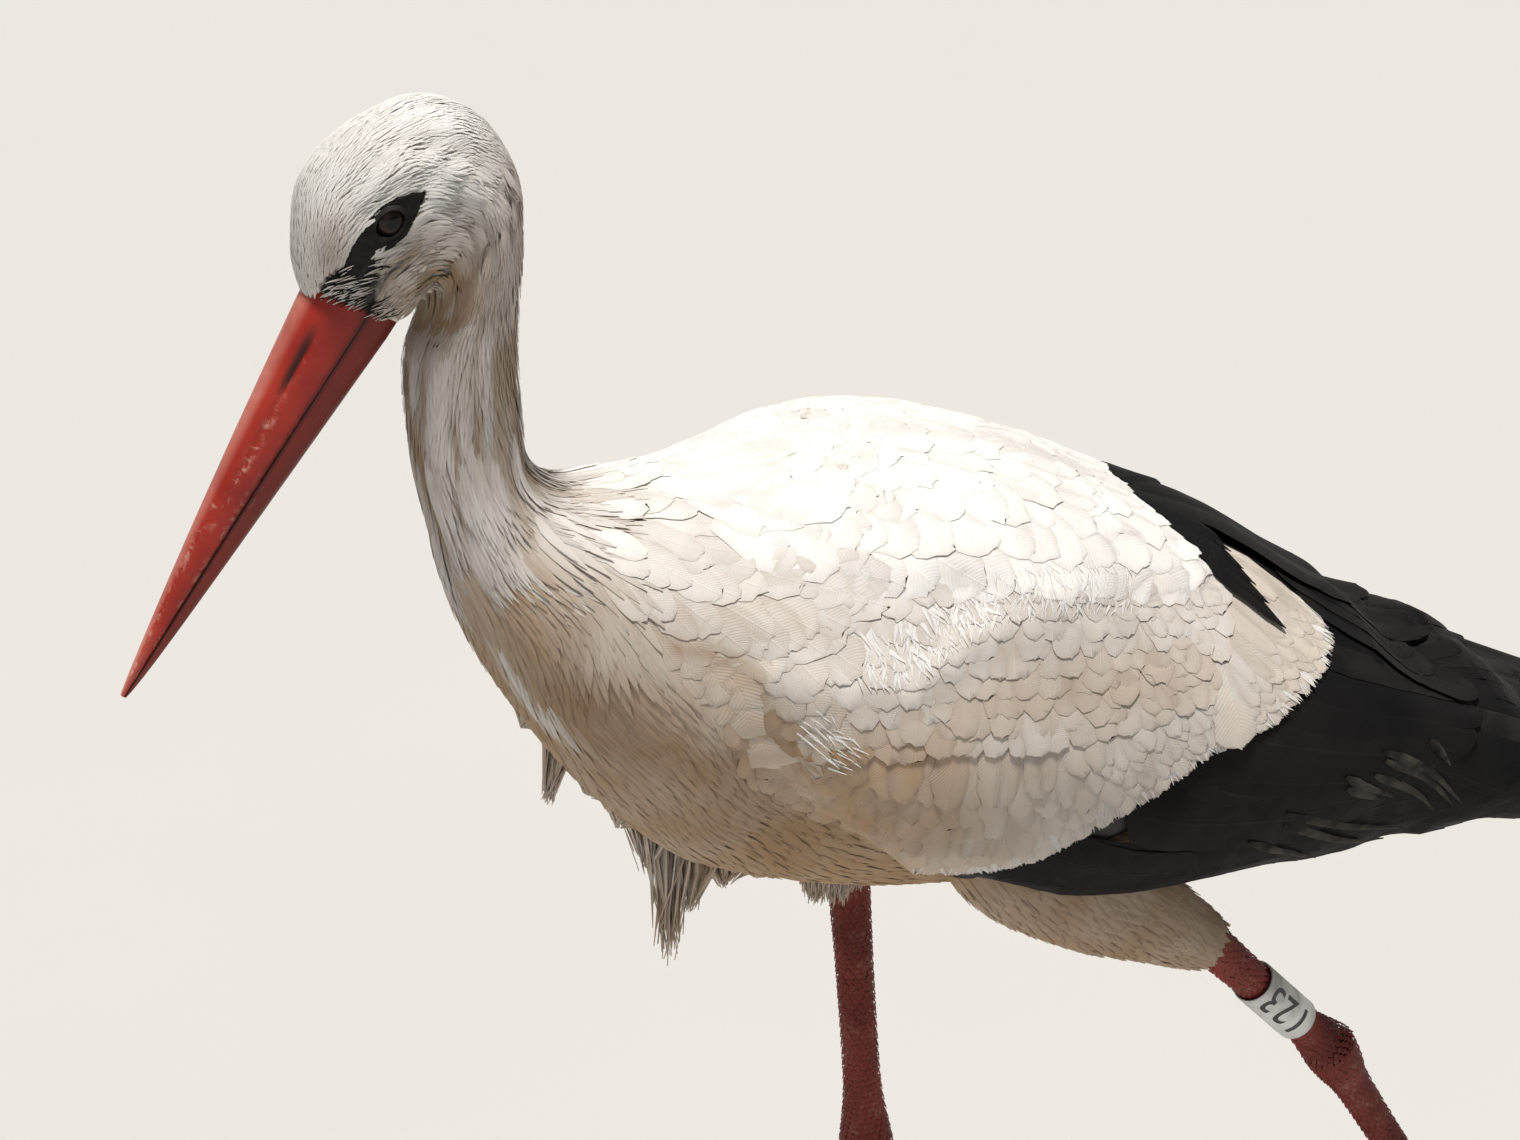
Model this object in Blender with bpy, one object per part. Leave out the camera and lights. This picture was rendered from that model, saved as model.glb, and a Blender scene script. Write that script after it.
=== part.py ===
"""A white stork (Ciconia ciconia), life size, walking with its head lowered.

Metres, +Z up.  The bird faces -Y and its left side is +X.  The right foot is planted and
the left leg trails on its toe tip, with an identification ring above the ankle.  The
origin is under the middle of the whole bird, on the floor.

The head, neck and trunk are one loft of egg-shaped sections that are parted by thin cuts.
The wings are shells over the same loft, so they follow the trunk at a constant gap.
"""

import math

import bmesh
import bpy
import numpy as np
from mathutils import Matrix, Vector

MM = 0.001
GAP = 0.3 * MM  # clearance between pieces that touch
WING_CLEARANCE = 1.1 * MM  # room between a wing's inner face and the trunk's facets

# ---------------------------------------------------------------- driving dimensions
# All of these are millimetres in (forward, up) or (forward, side, up) of the walking bird.
# A body section is: dorsal point, ventral point, half width, egg (wider above when more
# than 0), room between flank and wing, wing thickness on the back and on the flank.
BODY_SECTIONS = (
    ((211, 663), (178, 641), 13.0, 0.00, 0, 0, 0),  # 0 bill base
    ((211.5, 683), (175, 646), 17.0, 0.06, 0, 0, 0),  # 1 forehead
    ((207, 705), (171, 650), 20.5, 0.10, 0, 0, 0),  # 2 brow
    ((190, 721), (168, 654), 22.8, 0.15, 0, 0, 0),  # 3 crown
    ((166, 729), (166, 657), 23.5, 0.20, 0, 0, 0),  # 4 back of the crown
    ((144, 721), (164, 659), 23.0, 0.20, 0, 0, 0),  # 5 occiput
    ((131, 700), (163, 657), 22.0, 0.10, 0, 0, 0),  # 6 nape
    ((129, 674), (165, 648), 21.0, 0.00, 0, 0, 0),  # 7 throat notch
    ((131, 650), (172, 634), 20.5, 0.00, 0, 0, 0),  # 8 upper neck
    ((132, 625), (173, 614), 20.5, 0.00, 0, 0, 0),  # 9
    ((131, 600), (172, 590), 21.0, 0.00, 0, 0, 0),  # 10 middle of the neck
    ((129, 584), (167, 565), 23.5, 0.00, 0, 0, 0),  # 11
    ((117, 574), (162, 538), 29.0, 0.00, 0, 0, 0),  # 12 neck root
    ((98, 571), (150, 508), 38.0, 0.00, 0, 0, 0),  # 13
    ((72, 570), (132, 474), 50.0, 0.00, 0, 2, 6),  # 14 breast
    ((41, 571), (107, 439), 60.0, 0.00, 0, 4, 14),  # 15
    ((4, 567), (72, 406), 66.0, 0.00, 0, 8, 20),  # 16 shoulders
    ((-36, 556), (25, 386), 67.0, 0.00, 3, 9, 22),  # 17
    ((-77, 539), (-25, 374), 64.0, 0.00, 6, 9, 21),  # 18 belly
    ((-117, 515), (-78, 368), 58.0, 0.00, 11, 9, 20),  # 19
    ((-155, 490), (-126, 374), 50.0, 0.00, 18, 9, 17),  # 20 rump
    ((-191, 467), (-171, 384), 40.0, 0.00, 27, 9, 13),  # 21
    ((-226, 448), (-213, 393), 31.0, 0.00, 33, 8, 10),  # 22 root of the tail
    ((-262, 431), (-257, 370), 34.0, 0.00, 27, 8, 9),  # 23 from here on only the wings
    ((-303, 409), (-303, 354), 34.0, 0.00, 17, 7, 8),  # 24
    ((-350, 385), (-352, 343), 30.0, 0.00, 8, 5, 6),  # 25
    ((-400, 360), (-402, 336), 18.0, 0.00, 2, 3, 4),  # 26 wing tips
)
HEAD_SPAN = (0.0, 6.6)  # the sections between which each piece of the loft lies
NECK_UPPER_SPAN = (6.6, 10.0)
NECK_LOWER_SPAN = (10.0, 13.4)
TRUNK_SPAN = (13.4, 22.0)
CUT = 0.006  # half of a parting cut, in sections

BILL_TIP = (283, 518)
BILL_UPPER_DEPTH = 20.5
BILL_LOWER_DEPTH = 15.5
BILL_UPPER_TAPER = 0.92  # less than 1 bows the outline out
BILL_LOWER_TAPER = 0.74
BILL_HALF_WIDTH = 12.0
BILL_START = 0.8  # gap between the feathered face and the horn
BILL_TIP_DEPTH = 0.055  # share of the depth that is left at the tip
BILL_TIP_WIDTH = 0.10
BILL_ROUNDING = 0.85  # less than 1 fills the section out towards a box
MOUTH_DROP = -2.0  # the mouth line against the middle line, at the base
MOUTH_RISE = 0.6  # how far it bends up halfway
MOUTH_GAP = 0.15  # half of the gap between the two halves
BILL_STEPS = 14
BILL_SIDES = 12

EYE_CENTRE = (181.5, 16.2, 694.5)
EYE_RADIUS = 8.0

# Each wing row is: angle down from the back, front edge, covert edge and rear edge, the
# last three as forward positions.
WING_ROWS = (
    (2, 8, -82, -328),
    (16, 30, -92, -352),
    (28, 48, -116, -372),
    (40, 60, -152, -388),
    (54, 68, -176, -398),
    (68, 72, -162, -402),
    (82, 70, -134, -400),
    (96, 60, -98, -392),
    (108, 40, -62, -372),
    (119, 12, -38, -340),
    (132, -12, -28, -304),
)
WING_EDGE = 1.2  # least thickness
WING_HEM = 0.16  # share of its thickness that the top and bottom row keep
WING_NEXT_TO_HEM = 0.72
WING_TIP_SHARE = 0.30
LOWER_ROOM = 0.45  # how much of the room beside the flank there is below it
WING_STEPS = 10

TAIL_ROOT = (-224.5, 421)
TAIL_TIP = (-398, 326)
TAIL_ROOT_HALF_WIDTH = 30.0
TAIL_TIP_HALF_WIDTH = 34.0
TAIL_ROOT_HALF_DEPTH = 17.0
TAIL_TIP_HALF_DEPTH = 1.5
TAIL_ARCH = 5.0  # how far the sides hang below the middle at the tip
TAIL_ROUNDING = 0.06  # how much shorter the outermost feathers are
TAIL_STEPS = 7
TAIL_SIDES = 18

# A leg's joints as (forward, side, up), with side outward from the middle of the bird.
RIGHT_KNEE = (0, 31, 426)
RIGHT_FEATHER_END = (-14, 33, 364)
RIGHT_ANKLE = (-21, 25, 221)
RIGHT_FOOT = (-24, 19, 9)
LEFT_KNEE = (-40, 28, 400)
LEFT_FEATHER_END = (-145, 36, 330)
LEFT_ANKLE = (-212, 24, 254)
LEFT_FOOT = (-320, 16, 72)

SHANK_SINK = 7.0  # how far the bare shank reaches up into the feathers
SHANK_END = 0.935  # share of the shank's length where the ankle's knob takes over
# A profile row is: share of the length, half width, half depth.
THIGH_PROFILE = (
    (0.00, 15, 19), (0.14, 20, 25), (0.32, 21.5, 27), (0.50, 20, 26), (0.68, 17.5, 22),
    (0.84, 14.5, 17), (0.95, 12.5, 13.5), (1.00, 10.8, 11.6),
)
SHANK_PROFILE = (
    (0.00, 7.8, 8.6), (0.15, 7.6, 8.4), (0.42, 6.8, 7.6), (0.76, 6.8, 7.6), (0.87, 8.2, 9.2),
    (SHANK_END, 9.6, 10.6),
)
TARSUS_PROFILE = (
    (0.30, 6.0, 7.0), (0.60, 5.6, 6.6), (0.85, 6.2, 6.8), (0.95, 7.8, 7.4), (1.00, 9.35, 8.4),
)
KNOB_TOP = (9.7, 10.7)  # half width and half depth where the ankle's knob starts
# A knob or sole row is: distance past the joint, half width, half depth.
KNOB_PROFILE = ((0, 10.6, 11.5), (12, 9.4, 10.2), (26, 6.9, 7.9))
SOLE = (5.5, 6.0, 5.0)
THIGH_SIDES = 16
LEG_SIDES = 12

# name, spread from straight ahead towards the bird's outer side, distance of its root
# from the middle of the foot, length, radius
TOES = (
    ("middle", 3, 15.5, 82, 5.0),
    ("inner", -38, 15.5, 60, 4.6),
    ("outer", 43, 15.5, 68, 4.6),
    ("hallux", 172, 12.5, 34, 4.0),
)
# How far the toes of the trailing foot dip below level, in degrees, from root to tip.
TRAILING_DIPS = {
    "middle": (66, 70, 58, 6),
    "inner": (66, 76, 82, 84),
    "outer": (66, 74, 74, 62),
    "hallux": (-20, -40, -58, -70),
}
TRAILING_TOES_CLOSE = 0.9  # how far the trailing toes turn back towards each other
TOE_SIDES = 8
TOE_STEPS = 9
TOE_FLATTENING = 0.78  # height of a planted toe's middle, as a share of its radius
TOE_TAPER = 0.30
TOE_TIP = 0.72
TOE_HEIGHT = 0.92  # height of a toe as a share of its width
TOE_JOINTS = 3
KNUCKLE_SWELL = 0.10
CLAW_LENGTH = 11.0
CLAW_DROP = 1.8  # how far a claw's tip hooks down
CLAW_STEPS = 3
CLAW_BASE = 0.92  # share of the toe tip's width at the claw's root
CLAW_POINT = 0.12  # and at its tip

RING_LENGTH = 37.0
RING_OUTER = 10.4
RING_WALL = 1.3
RING_ABOVE_ANKLE = 29.0
RING_SIDES = 24

# Loose plumes hanging under the breast: place along the loft in sections, and length
BREAST_PLUMES = (
    (13.75, 1.5), (14.25, 9), (14.45, 21), (14.60, 10), (15.15, 7), (15.60, 16), (15.82, 34),
    (15.96, 18), (16.10, 9), (16.25, 14), (16.40, 8), (16.60, 12), (16.80, 6), (17.10, 1.5),
)
PLUME_HALF_WIDTH = 6.0
PLUME_FALL = Vector((0, 0.12, -1)).normalized()
# A plume's outline is: share of its length, share of its half width.
PLUME_OUTLINE = ((0, 0.7), (0.35, 1.0), (0.8, 0.55), (1, 0.0))

SLOTS = {
    "plumage_white": ((0.80, 0.76, 0.68, 1.0), 0.85),
    "plumage_black": ((0.02, 0.02, 0.025, 1.0), 0.55),
    "bill_red": ((0.62, 0.10, 0.05, 1.0), 0.45),
    "leg_red": ((0.38, 0.08, 0.06, 1.0), 0.60),
    "eye_dark": ((0.02, 0.012, 0.01, 1.0), 0.08),
    "claw_dark": ((0.08, 0.06, 0.05, 1.0), 0.45),
    "ring_plastic": ((0.80, 0.80, 0.78, 1.0), 0.40),
}


# ------------------------------------------------------------------------ small tools
def place(forward, side, up):
    """A point in metres from millimetres ahead of the middle, to the left and up."""
    return Vector((side * MM, -forward * MM, up * MM))


def clear_scene():
    for obj in list(bpy.data.objects):
        bpy.data.objects.remove(obj, do_unlink=True)


def material(slot):
    found = bpy.data.materials.get(slot)
    if found:
        return found
    colour, roughness = SLOTS[slot]
    made = bpy.data.materials.new(slot)
    made.use_nodes = True
    shader = made.node_tree.nodes["Principled BSDF"]
    shader.inputs["Base Color"].default_value = colour
    shader.inputs["Roughness"].default_value = roughness
    shader.inputs["Metallic"].default_value = 0.0
    return made


def add_object(name, bm, slot):
    """Make an object of a bmesh, with its faces pointing out."""
    bmesh.ops.recalc_face_normals(bm, faces=bm.faces)
    mesh = bpy.data.meshes.new(name)
    bm.to_mesh(mesh)
    bm.free()
    mesh.materials.append(material(slot))
    mesh.shade_smooth()
    mesh.set_sharp_from_angle(angle=math.radians(50))
    obj = bpy.data.objects.new(name, mesh)
    bpy.context.scene.collection.objects.link(obj)
    return obj


def hide_cutter(obj):
    obj.hide_render = True
    obj.display_type = "WIRE"
    return obj


def carve(target, cutter):
    """Take the cutter out of the target."""
    hole = target.modifiers.new("carve_" + cutter.name, "BOOLEAN")
    hole.operation = "DIFFERENCE"
    hole.solver = "EXACT"
    hole.object = cutter


def between(start, end, t):
    return start + (end - start) * t


def smooth_between(values, place_along):
    """A smooth curve through evenly spaced rows of numbers (Catmull-Rom)."""
    rows = np.asarray(values, float)
    last = len(rows) - 1
    place_along = min(max(place_along, 0.0), float(last))
    start = min(int(place_along), last - 1)
    t = place_along - start
    before = rows[max(start - 1, 0)]
    here = rows[start]
    after = rows[start + 1]
    beyond = rows[min(start + 2, last)]
    slope_in = (after - before) / 2
    slope_out = (beyond - here) / 2
    return (
        here * (2 * t**3 - 3 * t**2 + 1)
        + slope_in * (t**3 - 2 * t**2 + t)
        + after * (3 * t**2 - 2 * t**3)
        + slope_out * (t**3 - t**2)
    )


def loft(rings):
    """A closed body through rings of equally many points, with fans over both ends."""
    bm = bmesh.new()
    loops = [[bm.verts.new(point) for point in ring] for ring in rings]
    sides = len(loops[0])
    for one, two in zip(loops, loops[1:]):
        for k in range(sides):
            n = (k + 1) % sides
            bm.faces.new((one[k], one[n], two[n], two[k]))
    for loop in (loops[0], loops[-1]):
        middle = sum((vert.co for vert in loop), Vector()) / sides
        tip = bm.verts.new(middle)
        for k in range(sides):
            bm.faces.new((loop[k], loop[(k + 1) % sides], tip))
    return bm


# ---------------------------------------------------------------------- head to trunk
BODY_TABLE = [
    (*dorsal, *ventral, half_width, egg, room, on_back, on_flank)
    for dorsal, ventral, half_width, egg, room, on_back, on_flank in BODY_SECTIONS
]


def body_point(along, angle, off_surface=0.0, in_wing=None):
    """A point of the body's loft.

    along is counted in sections, angle in degrees from the back down the left side and
    off_surface in millimetres.  in_wing is None on the body, and otherwise the share of
    the wing's thickness, from 0 on its inner face to 1 on its outer one.
    """
    row = smooth_between(BODY_TABLE, along)
    dorsal = np.array(row[0:2])
    ventral = np.array(row[2:4])
    half_width, egg, room, on_back, on_flank = row[4:9]
    half_depth = np.linalg.norm(dorsal - ventral) / 2
    up = (dorsal - ventral) / (2 * half_depth)
    turn = math.radians(angle)
    deep = half_depth + off_surface
    wide = half_width + off_surface
    if in_wing is not None:
        wing = in_wing * (on_back + (on_flank - on_back) * math.sin(turn) ** 2)
        deep += wing + (LOWER_ROOM * room if angle > 90 else 0.0)
        wide += wing + room
    centre = (dorsal + ventral) / 2
    forward, height = centre + up * deep * math.cos(turn)
    side = wide * math.sin(turn) * (1 + egg * math.cos(turn))
    return place(forward, side, height)


def body_rings(start, end, steps, sides, off_surface=0.0):
    rings = []
    for i in range(steps + 1):
        along = start + (end - start) * i / steps
        rings.append([body_point(along, 360 * k / sides, off_surface) for k in range(sides)])
    return rings


def build_body():
    pieces = (
        ("head", HEAD_SPAN, 13, 24),
        ("neck_upper", NECK_UPPER_SPAN, 7, 24),
        ("neck_lower", NECK_LOWER_SPAN, 7, 28),
        ("trunk", TRUNK_SPAN, 16, 32),
    )
    made = {}
    for name, (start, end), steps, sides in pieces:
        rings = body_rings(start + CUT, end - CUT, steps, sides)
        made[name] = add_object(name, loft(rings), "plumage_white")
    return made


def build_eyes(head):
    for side, sign in (("left", 1), ("right", -1)):
        forward, out, up = EYE_CENTRE
        centre = place(forward, sign * out, up)
        for name, radius in (
            ("eye_" + side, EYE_RADIUS * MM),
            ("cut_eye_" + side, EYE_RADIUS * MM + GAP),
        ):
            bm = bmesh.new()
            bmesh.ops.create_uvsphere(
                bm, u_segments=14, v_segments=8, radius=radius,
                matrix=Matrix.Translation(centre) @ Matrix.Rotation(math.pi / 2, 4, "Y"),
            )
            obj = add_object(name, bm, "eye_dark")
        carve(head, hide_cutter(obj))


# ------------------------------------------------------------------------------ bill
def build_bill():
    """Two tapering half cones that meet along the mouth line."""
    dorsal, ventral = BODY_SECTIONS[0][0:2]
    base = (np.array(dorsal, float) + np.array(ventral)) / 2
    tip = np.array(BILL_TIP, float)
    length = np.linalg.norm(tip - base)
    ahead = (tip - base) / length
    above = np.array((-ahead[1], ahead[0]))
    first = BILL_START / length
    halves = (
        ("bill_upper", 1, BILL_UPPER_DEPTH, BILL_UPPER_TAPER),
        ("bill_lower", -1, BILL_LOWER_DEPTH, BILL_LOWER_TAPER),
    )
    for name, sign, depth, bow in halves:
        rings = []
        for i in range(BILL_STEPS + 1):
            t = first + (1 - first) * i / BILL_STEPS
            taper = (1 - t) ** bow
            height = depth * between(BILL_TIP_DEPTH, 1, taper)
            width = BILL_HALF_WIDTH * between(BILL_TIP_WIDTH, 1, taper)
            mouth = MOUTH_DROP * (1 - t) + MOUTH_RISE * math.sin(math.pi * t)
            ring = []
            for k in range(BILL_SIDES):
                turn = math.pi * k / (BILL_SIDES - 1)
                side = width * math.cos(turn)
                rise = mouth + sign * (MOUTH_GAP + height * math.sin(turn) ** BILL_ROUNDING)
                forward, up = base + ahead * length * t + above * rise
                ring.append(place(forward, side, up))
            rings.append(ring)
        add_object(name, loft(rings), "bill_red")


# ------------------------------------------------------------------------------ wings
def along_at(forward, angle):
    """Where along the loft a given forward position lies, at an angle from the back."""
    low, high = 10.0, len(BODY_SECTIONS) - 1.0
    for _ in range(40):
        middle = (low + high) / 2
        if -body_point(middle, angle, 0.0, 1.0).y / MM > forward:
            low = middle
        else:
            high = middle
    return (low + high) / 2


def wing_rows():
    """Wing rows with their edges turned into places along the loft."""
    rows = []
    for angle, *edges in WING_ROWS:
        rows.append((angle, *(along_at(edge, angle) for edge in edges)))
    return rows


def wing_thickness(row, step, rows, first_edge, last_edge):
    """The share of its thickness that a wing has at a step of a row."""
    thick = 1.0
    if first_edge == 1:
        thick = min(1.0, math.sin(math.pi / 2 * min(1, 0.12 + step / 4)))
    if last_edge == 3:
        thick = min(thick, between(WING_TIP_SHARE, 1, (1 - step / WING_STEPS) ** 0.6))
    from_hem = min(row, rows - 1 - row)
    if from_hem == 0:
        thick = min(thick, WING_HEM)
    elif from_hem == 1:
        thick = min(thick, WING_NEXT_TO_HEM)
    return thick


def wing_shell(rows, first_edge, last_edge, mirror):
    """A shell over the trunk between two edges of the wing rows."""
    bm = bmesh.new()
    outer, inner = [], []
    for j, row in enumerate(rows):
        angle = row[0]
        start = row[first_edge] + CUT * (first_edge > 1)
        end = row[last_edge] - CUT * (last_edge < 3)
        outer_line, inner_line = [], []
        for i in range(WING_STEPS + 1):
            along = between(start, end, i / WING_STEPS)
            thick = wing_thickness(j, i, len(rows), first_edge, last_edge)
            base = WING_CLEARANCE / MM
            low = body_point(along, angle, base, 0.0)
            full = body_point(along, angle, base, thick)
            least = body_point(along, angle, base + WING_EDGE, 0.0)
            if abs(full.x) < abs(least.x) or (full - low).length < WING_EDGE * MM:
                full = least
            for point in (low, full):
                point.x *= mirror
            inner_line.append(bm.verts.new(low))
            outer_line.append(bm.verts.new(full))
        outer.append(outer_line)
        inner.append(inner_line)
    for grid in (outer, inner):
        for one, two in zip(grid, grid[1:]):
            for i in range(WING_STEPS):
                bm.faces.new((one[i], one[i + 1], two[i + 1], two[i]))
    edges = (
        (inner[0], outer[0]),
        (inner[-1], outer[-1]),
        ([line[0] for line in inner], [line[0] for line in outer]),
        ([line[-1] for line in inner], [line[-1] for line in outer]),
    )
    # both pieces of a wing split the twisted faces of their shared edge the same way
    for low, high in edges:
        for k in range(len(low) - 1):
            bm.faces.new((low[k], low[k + 1], high[k + 1]))
            bm.faces.new((low[k], high[k + 1], high[k]))
    return bm


def build_wings():
    rows = wing_rows()
    for side, mirror in (("left", 1), ("right", -1)):
        add_object("wing_" + side, wing_shell(rows, 1, 2, mirror), "plumage_white")
        add_object("wing_feathers_" + side, wing_shell(rows, 2, 3, mirror), "plumage_black")


def build_breast_plumes():
    """A thin curtain of loose plumes along the middle of the breast."""
    rings = []
    for along, length in BREAST_PLUMES:
        top = body_point(along, 180, 0.4)
        half_width = PLUME_HALF_WIDTH * MM * min(1.0, 0.25 + length / 18)
        left = [(share, width) for share, width in PLUME_OUTLINE]
        right = [(share, -width) for share, width in reversed(PLUME_OUTLINE[:-1])]
        rings.append([
            top + PLUME_FALL * length * MM * share + Vector((half_width * width, 0, 0))
            for share, width in left + right
        ])
    add_object("breast_plumes", loft(rings), "plumage_white")


def build_tail():
    """A flat fan of feathers, slightly arched, under the wing tips."""
    root = np.array(TAIL_ROOT, float)
    tip = np.array(TAIL_TIP, float)
    back = (tip - root) / np.linalg.norm(tip - root)
    above = np.array((back[1], -back[0]))
    rings = []
    for i in range(TAIL_STEPS + 1):
        t = i / TAIL_STEPS
        wide = between(TAIL_ROOT_HALF_WIDTH, TAIL_TIP_HALF_WIDTH, t)
        deep = between(TAIL_TIP_HALF_DEPTH, TAIL_ROOT_HALF_DEPTH, (1 - t) ** 1.6)
        ring = []
        for k in range(TAIL_SIDES):
            turn = 2 * math.pi * k / TAIL_SIDES
            side = wide * math.sin(turn)
            reach = t - TAIL_ROUNDING * t * (side / wide) ** 2
            arch = -TAIL_ARCH * t * (side / wide) ** 2
            forward, up = root + (tip - root) * reach + above * (deep * math.cos(turn) + arch)
            ring.append(place(forward, side, up))
        rings.append(ring)
    add_object("tail", loft(rings), "plumage_white")


# ------------------------------------------------------------------------------- legs
def tube_rings(path, sides, floor=None):
    """Rings round a path of (point, half width, half depth) in metres."""
    points = [Vector(row[0]) for row in path]
    rings = []
    for i, (point, wide, deep) in enumerate(path):
        ahead = points[min(i + 1, len(points) - 1)] - points[max(i - 1, 0)]
        ahead.normalize()
        guide = Vector((0, 0, 1)) if abs(ahead.z) < 0.8 else Vector((0, -1, 0))
        across = ahead.cross(guide).normalized()
        upward = across.cross(ahead).normalized()
        ring = []
        for k in range(sides):
            turn = 2 * math.pi * k / sides
            spot = Vector(point) + across * wide * math.sin(turn) + upward * deep * math.cos(turn)
            if floor is not None and spot.z < floor:
                spot.z = floor
            ring.append(spot)
        rings.append(ring)
    return rings


def straight_path(start, end, profile):
    """Path rows between two points from (share, half width mm, half depth mm)."""
    return [(between(start, end, t), wide * MM, deep * MM) for t, wide, deep in profile]


def offset_path(start, ahead, profile):
    """Path rows past a point from (distance mm, half width mm, half depth mm)."""
    return [(start + ahead * far * MM, wide * MM, deep * MM) for far, wide, deep in profile]


def build_leg(side, sign, joints, trunk_cutter):
    """The feathered thigh, the bare shank and the foot's bone; returns where the foot is."""
    knee, feather_end, ankle, foot = (place(f, sign * s, u) for f, s, u in joints)

    thigh = loft(tube_rings(straight_path(knee, feather_end, THIGH_PROFILE), THIGH_SIDES))
    thigh = add_object("thigh_" + side, thigh, "plumage_white")
    carve(thigh, trunk_cutter)

    axis = (ankle - feather_end).normalized()
    top = feather_end - axis * SHANK_SINK * MM
    for name, grow in (("shank_" + side, 0.0), ("cut_shank_" + side, GAP / MM)):
        rows = [(t, wide + grow, deep + grow) for t, wide, deep in SHANK_PROFILE]
        start = top - axis * grow * MM
        shank = add_object(
            name, loft(tube_rings(straight_path(start, ankle, rows), LEG_SIDES)), "leg_red"
        )
    carve(thigh, hide_cutter(shank))

    joint_top = between(top, ankle, SHANK_END) + axis * GAP
    along = (foot - ankle).normalized()
    path = [(joint_top, KNOB_TOP[0] * MM, KNOB_TOP[1] * MM)]
    path += offset_path(ankle, along, KNOB_PROFILE)
    path += straight_path(ankle, foot, TARSUS_PROFILE)
    path += offset_path(foot, along, [SOLE])
    tarsus = loft(tube_rings(path, LEG_SIDES, floor=0.0))
    add_object("tarsus_" + side, tarsus, "leg_red")
    return foot


def build_toe(side, sign, foot, name, spread, root, length, radius):
    planted = side == "right"
    dips = (0, 0, 0, 0) if planted else TRAILING_DIPS[name]
    dip_rows = [(dip,) for dip in dips]
    close = 0.0 if planted or name == "hallux" else TRAILING_TOES_CLOSE

    def heading(share):
        """Which way the toe runs at a share of its length."""
        turn = math.radians(spread * (1 - close * share))
        dip = math.radians(smooth_between(dip_rows, share * (len(dips) - 1))[0])
        ahead = math.cos(turn)
        return Vector((sign * math.sin(turn), -ahead * math.cos(dip), -ahead * math.sin(dip)))

    point = foot + heading(0) * root * MM
    lowest = radius * TOE_FLATTENING * MM
    if planted:
        point.z = lowest
    path = []
    for i in range(TOE_STEPS + 1):
        share = i / TOE_STEPS
        knuckle = 1 + KNUCKLE_SWELL * math.cos(2 * math.pi * TOE_JOINTS * share)
        thick = radius * (1 - TOE_TAPER * share) * knuckle
        if i == TOE_STEPS:
            thick *= TOE_TIP
        path.append((point.copy(), thick * MM, thick * TOE_HEIGHT * MM))
        point = point + heading(share) * length * MM / TOE_STEPS
        point.z = max(point.z, lowest * (1 - TOE_TAPER * share))
    add_object(f"toe_{side}_{name}", loft(tube_rings(path, TOE_SIDES, floor=0.0)), "leg_red")

    tip, wide, deep = path[-1]
    onward = (path[-1][0] - path[-2][0]).normalized()
    claw = []
    for i in range(CLAW_STEPS + 1):
        t = i / CLAW_STEPS
        drop = Vector((0, 0, -CLAW_DROP * t * t * MM))
        spot = tip + onward * (GAP + CLAW_LENGTH * t * MM) + drop
        shrink = between(CLAW_POINT, CLAW_BASE, (1 - t) ** 0.8)
        claw.append((spot, wide * shrink, deep * shrink))
    add_object(f"claw_{side}_{name}", loft(tube_rings(claw, TOE_SIDES, floor=0.0)), "claw_dark")


def build_ring():
    """The identification ring: a short plastic tube round the left shank."""
    feather_end = place(*LEFT_FEATHER_END)
    ankle = place(*LEFT_ANKLE)
    axis = (feather_end - ankle).normalized()
    start = ankle + axis * RING_ABOVE_ANKLE * MM
    across = axis.cross(Vector((1, 0, 0))).normalized()
    beside = axis.cross(across).normalized()
    inner = RING_OUTER - RING_WALL
    corners = ((inner, 0), (RING_OUTER, 0), (RING_OUTER, RING_LENGTH), (inner, RING_LENGTH))
    bm = bmesh.new()
    loops = []
    for radius, height in corners:
        middle = start + axis * height * MM
        loop = []
        for k in range(RING_SIDES):
            turn = 2 * math.pi * k / RING_SIDES
            out = across * math.cos(turn) + beside * math.sin(turn)
            loop.append(bm.verts.new(middle + out * radius * MM))
        loops.append(loop)
    for one, two in zip(loops, loops[1:] + loops[:1]):
        for k in range(RING_SIDES):
            n = (k + 1) % RING_SIDES
            bm.faces.new((one[k], one[n], two[n], two[k]))
    add_object("ring_left", bm, "ring_plastic")


def centre_on_floor():
    """Move everything so that the origin is under the middle of the bird."""
    pieces = [obj for obj in bpy.data.objects if not obj.hide_render]
    corners = [Vector(vert.co) for obj in pieces for vert in obj.data.vertices]
    middle_x = (min(c.x for c in corners) + max(c.x for c in corners)) / 2
    middle_y = (min(c.y for c in corners) + max(c.y for c in corners)) / 2
    shift = Matrix.Translation((-middle_x, -middle_y, 0))
    for obj in bpy.data.objects:
        obj.data.transform(shift)


def main():
    clear_scene()
    body = build_body()
    build_eyes(body["head"])
    build_bill()
    build_wings()
    build_breast_plumes()
    build_tail()
    trunk_cutter = hide_cutter(add_object(
        "cut_trunk",
        loft(body_rings(TRUNK_SPAN[0], TRUNK_SPAN[1], 16, 32, GAP / MM)),
        "plumage_white",
    ))
    legs = (
        ("right", -1, (RIGHT_KNEE, RIGHT_FEATHER_END, RIGHT_ANKLE, RIGHT_FOOT)),
        ("left", 1, (LEFT_KNEE, LEFT_FEATHER_END, LEFT_ANKLE, LEFT_FOOT)),
    )
    for side, sign, joints in legs:
        foot = build_leg(side, sign, joints, trunk_cutter)
        for toe in TOES:
            build_toe(side, sign, foot, *toe)
    build_ring()
    centre_on_floor()


main()
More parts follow.
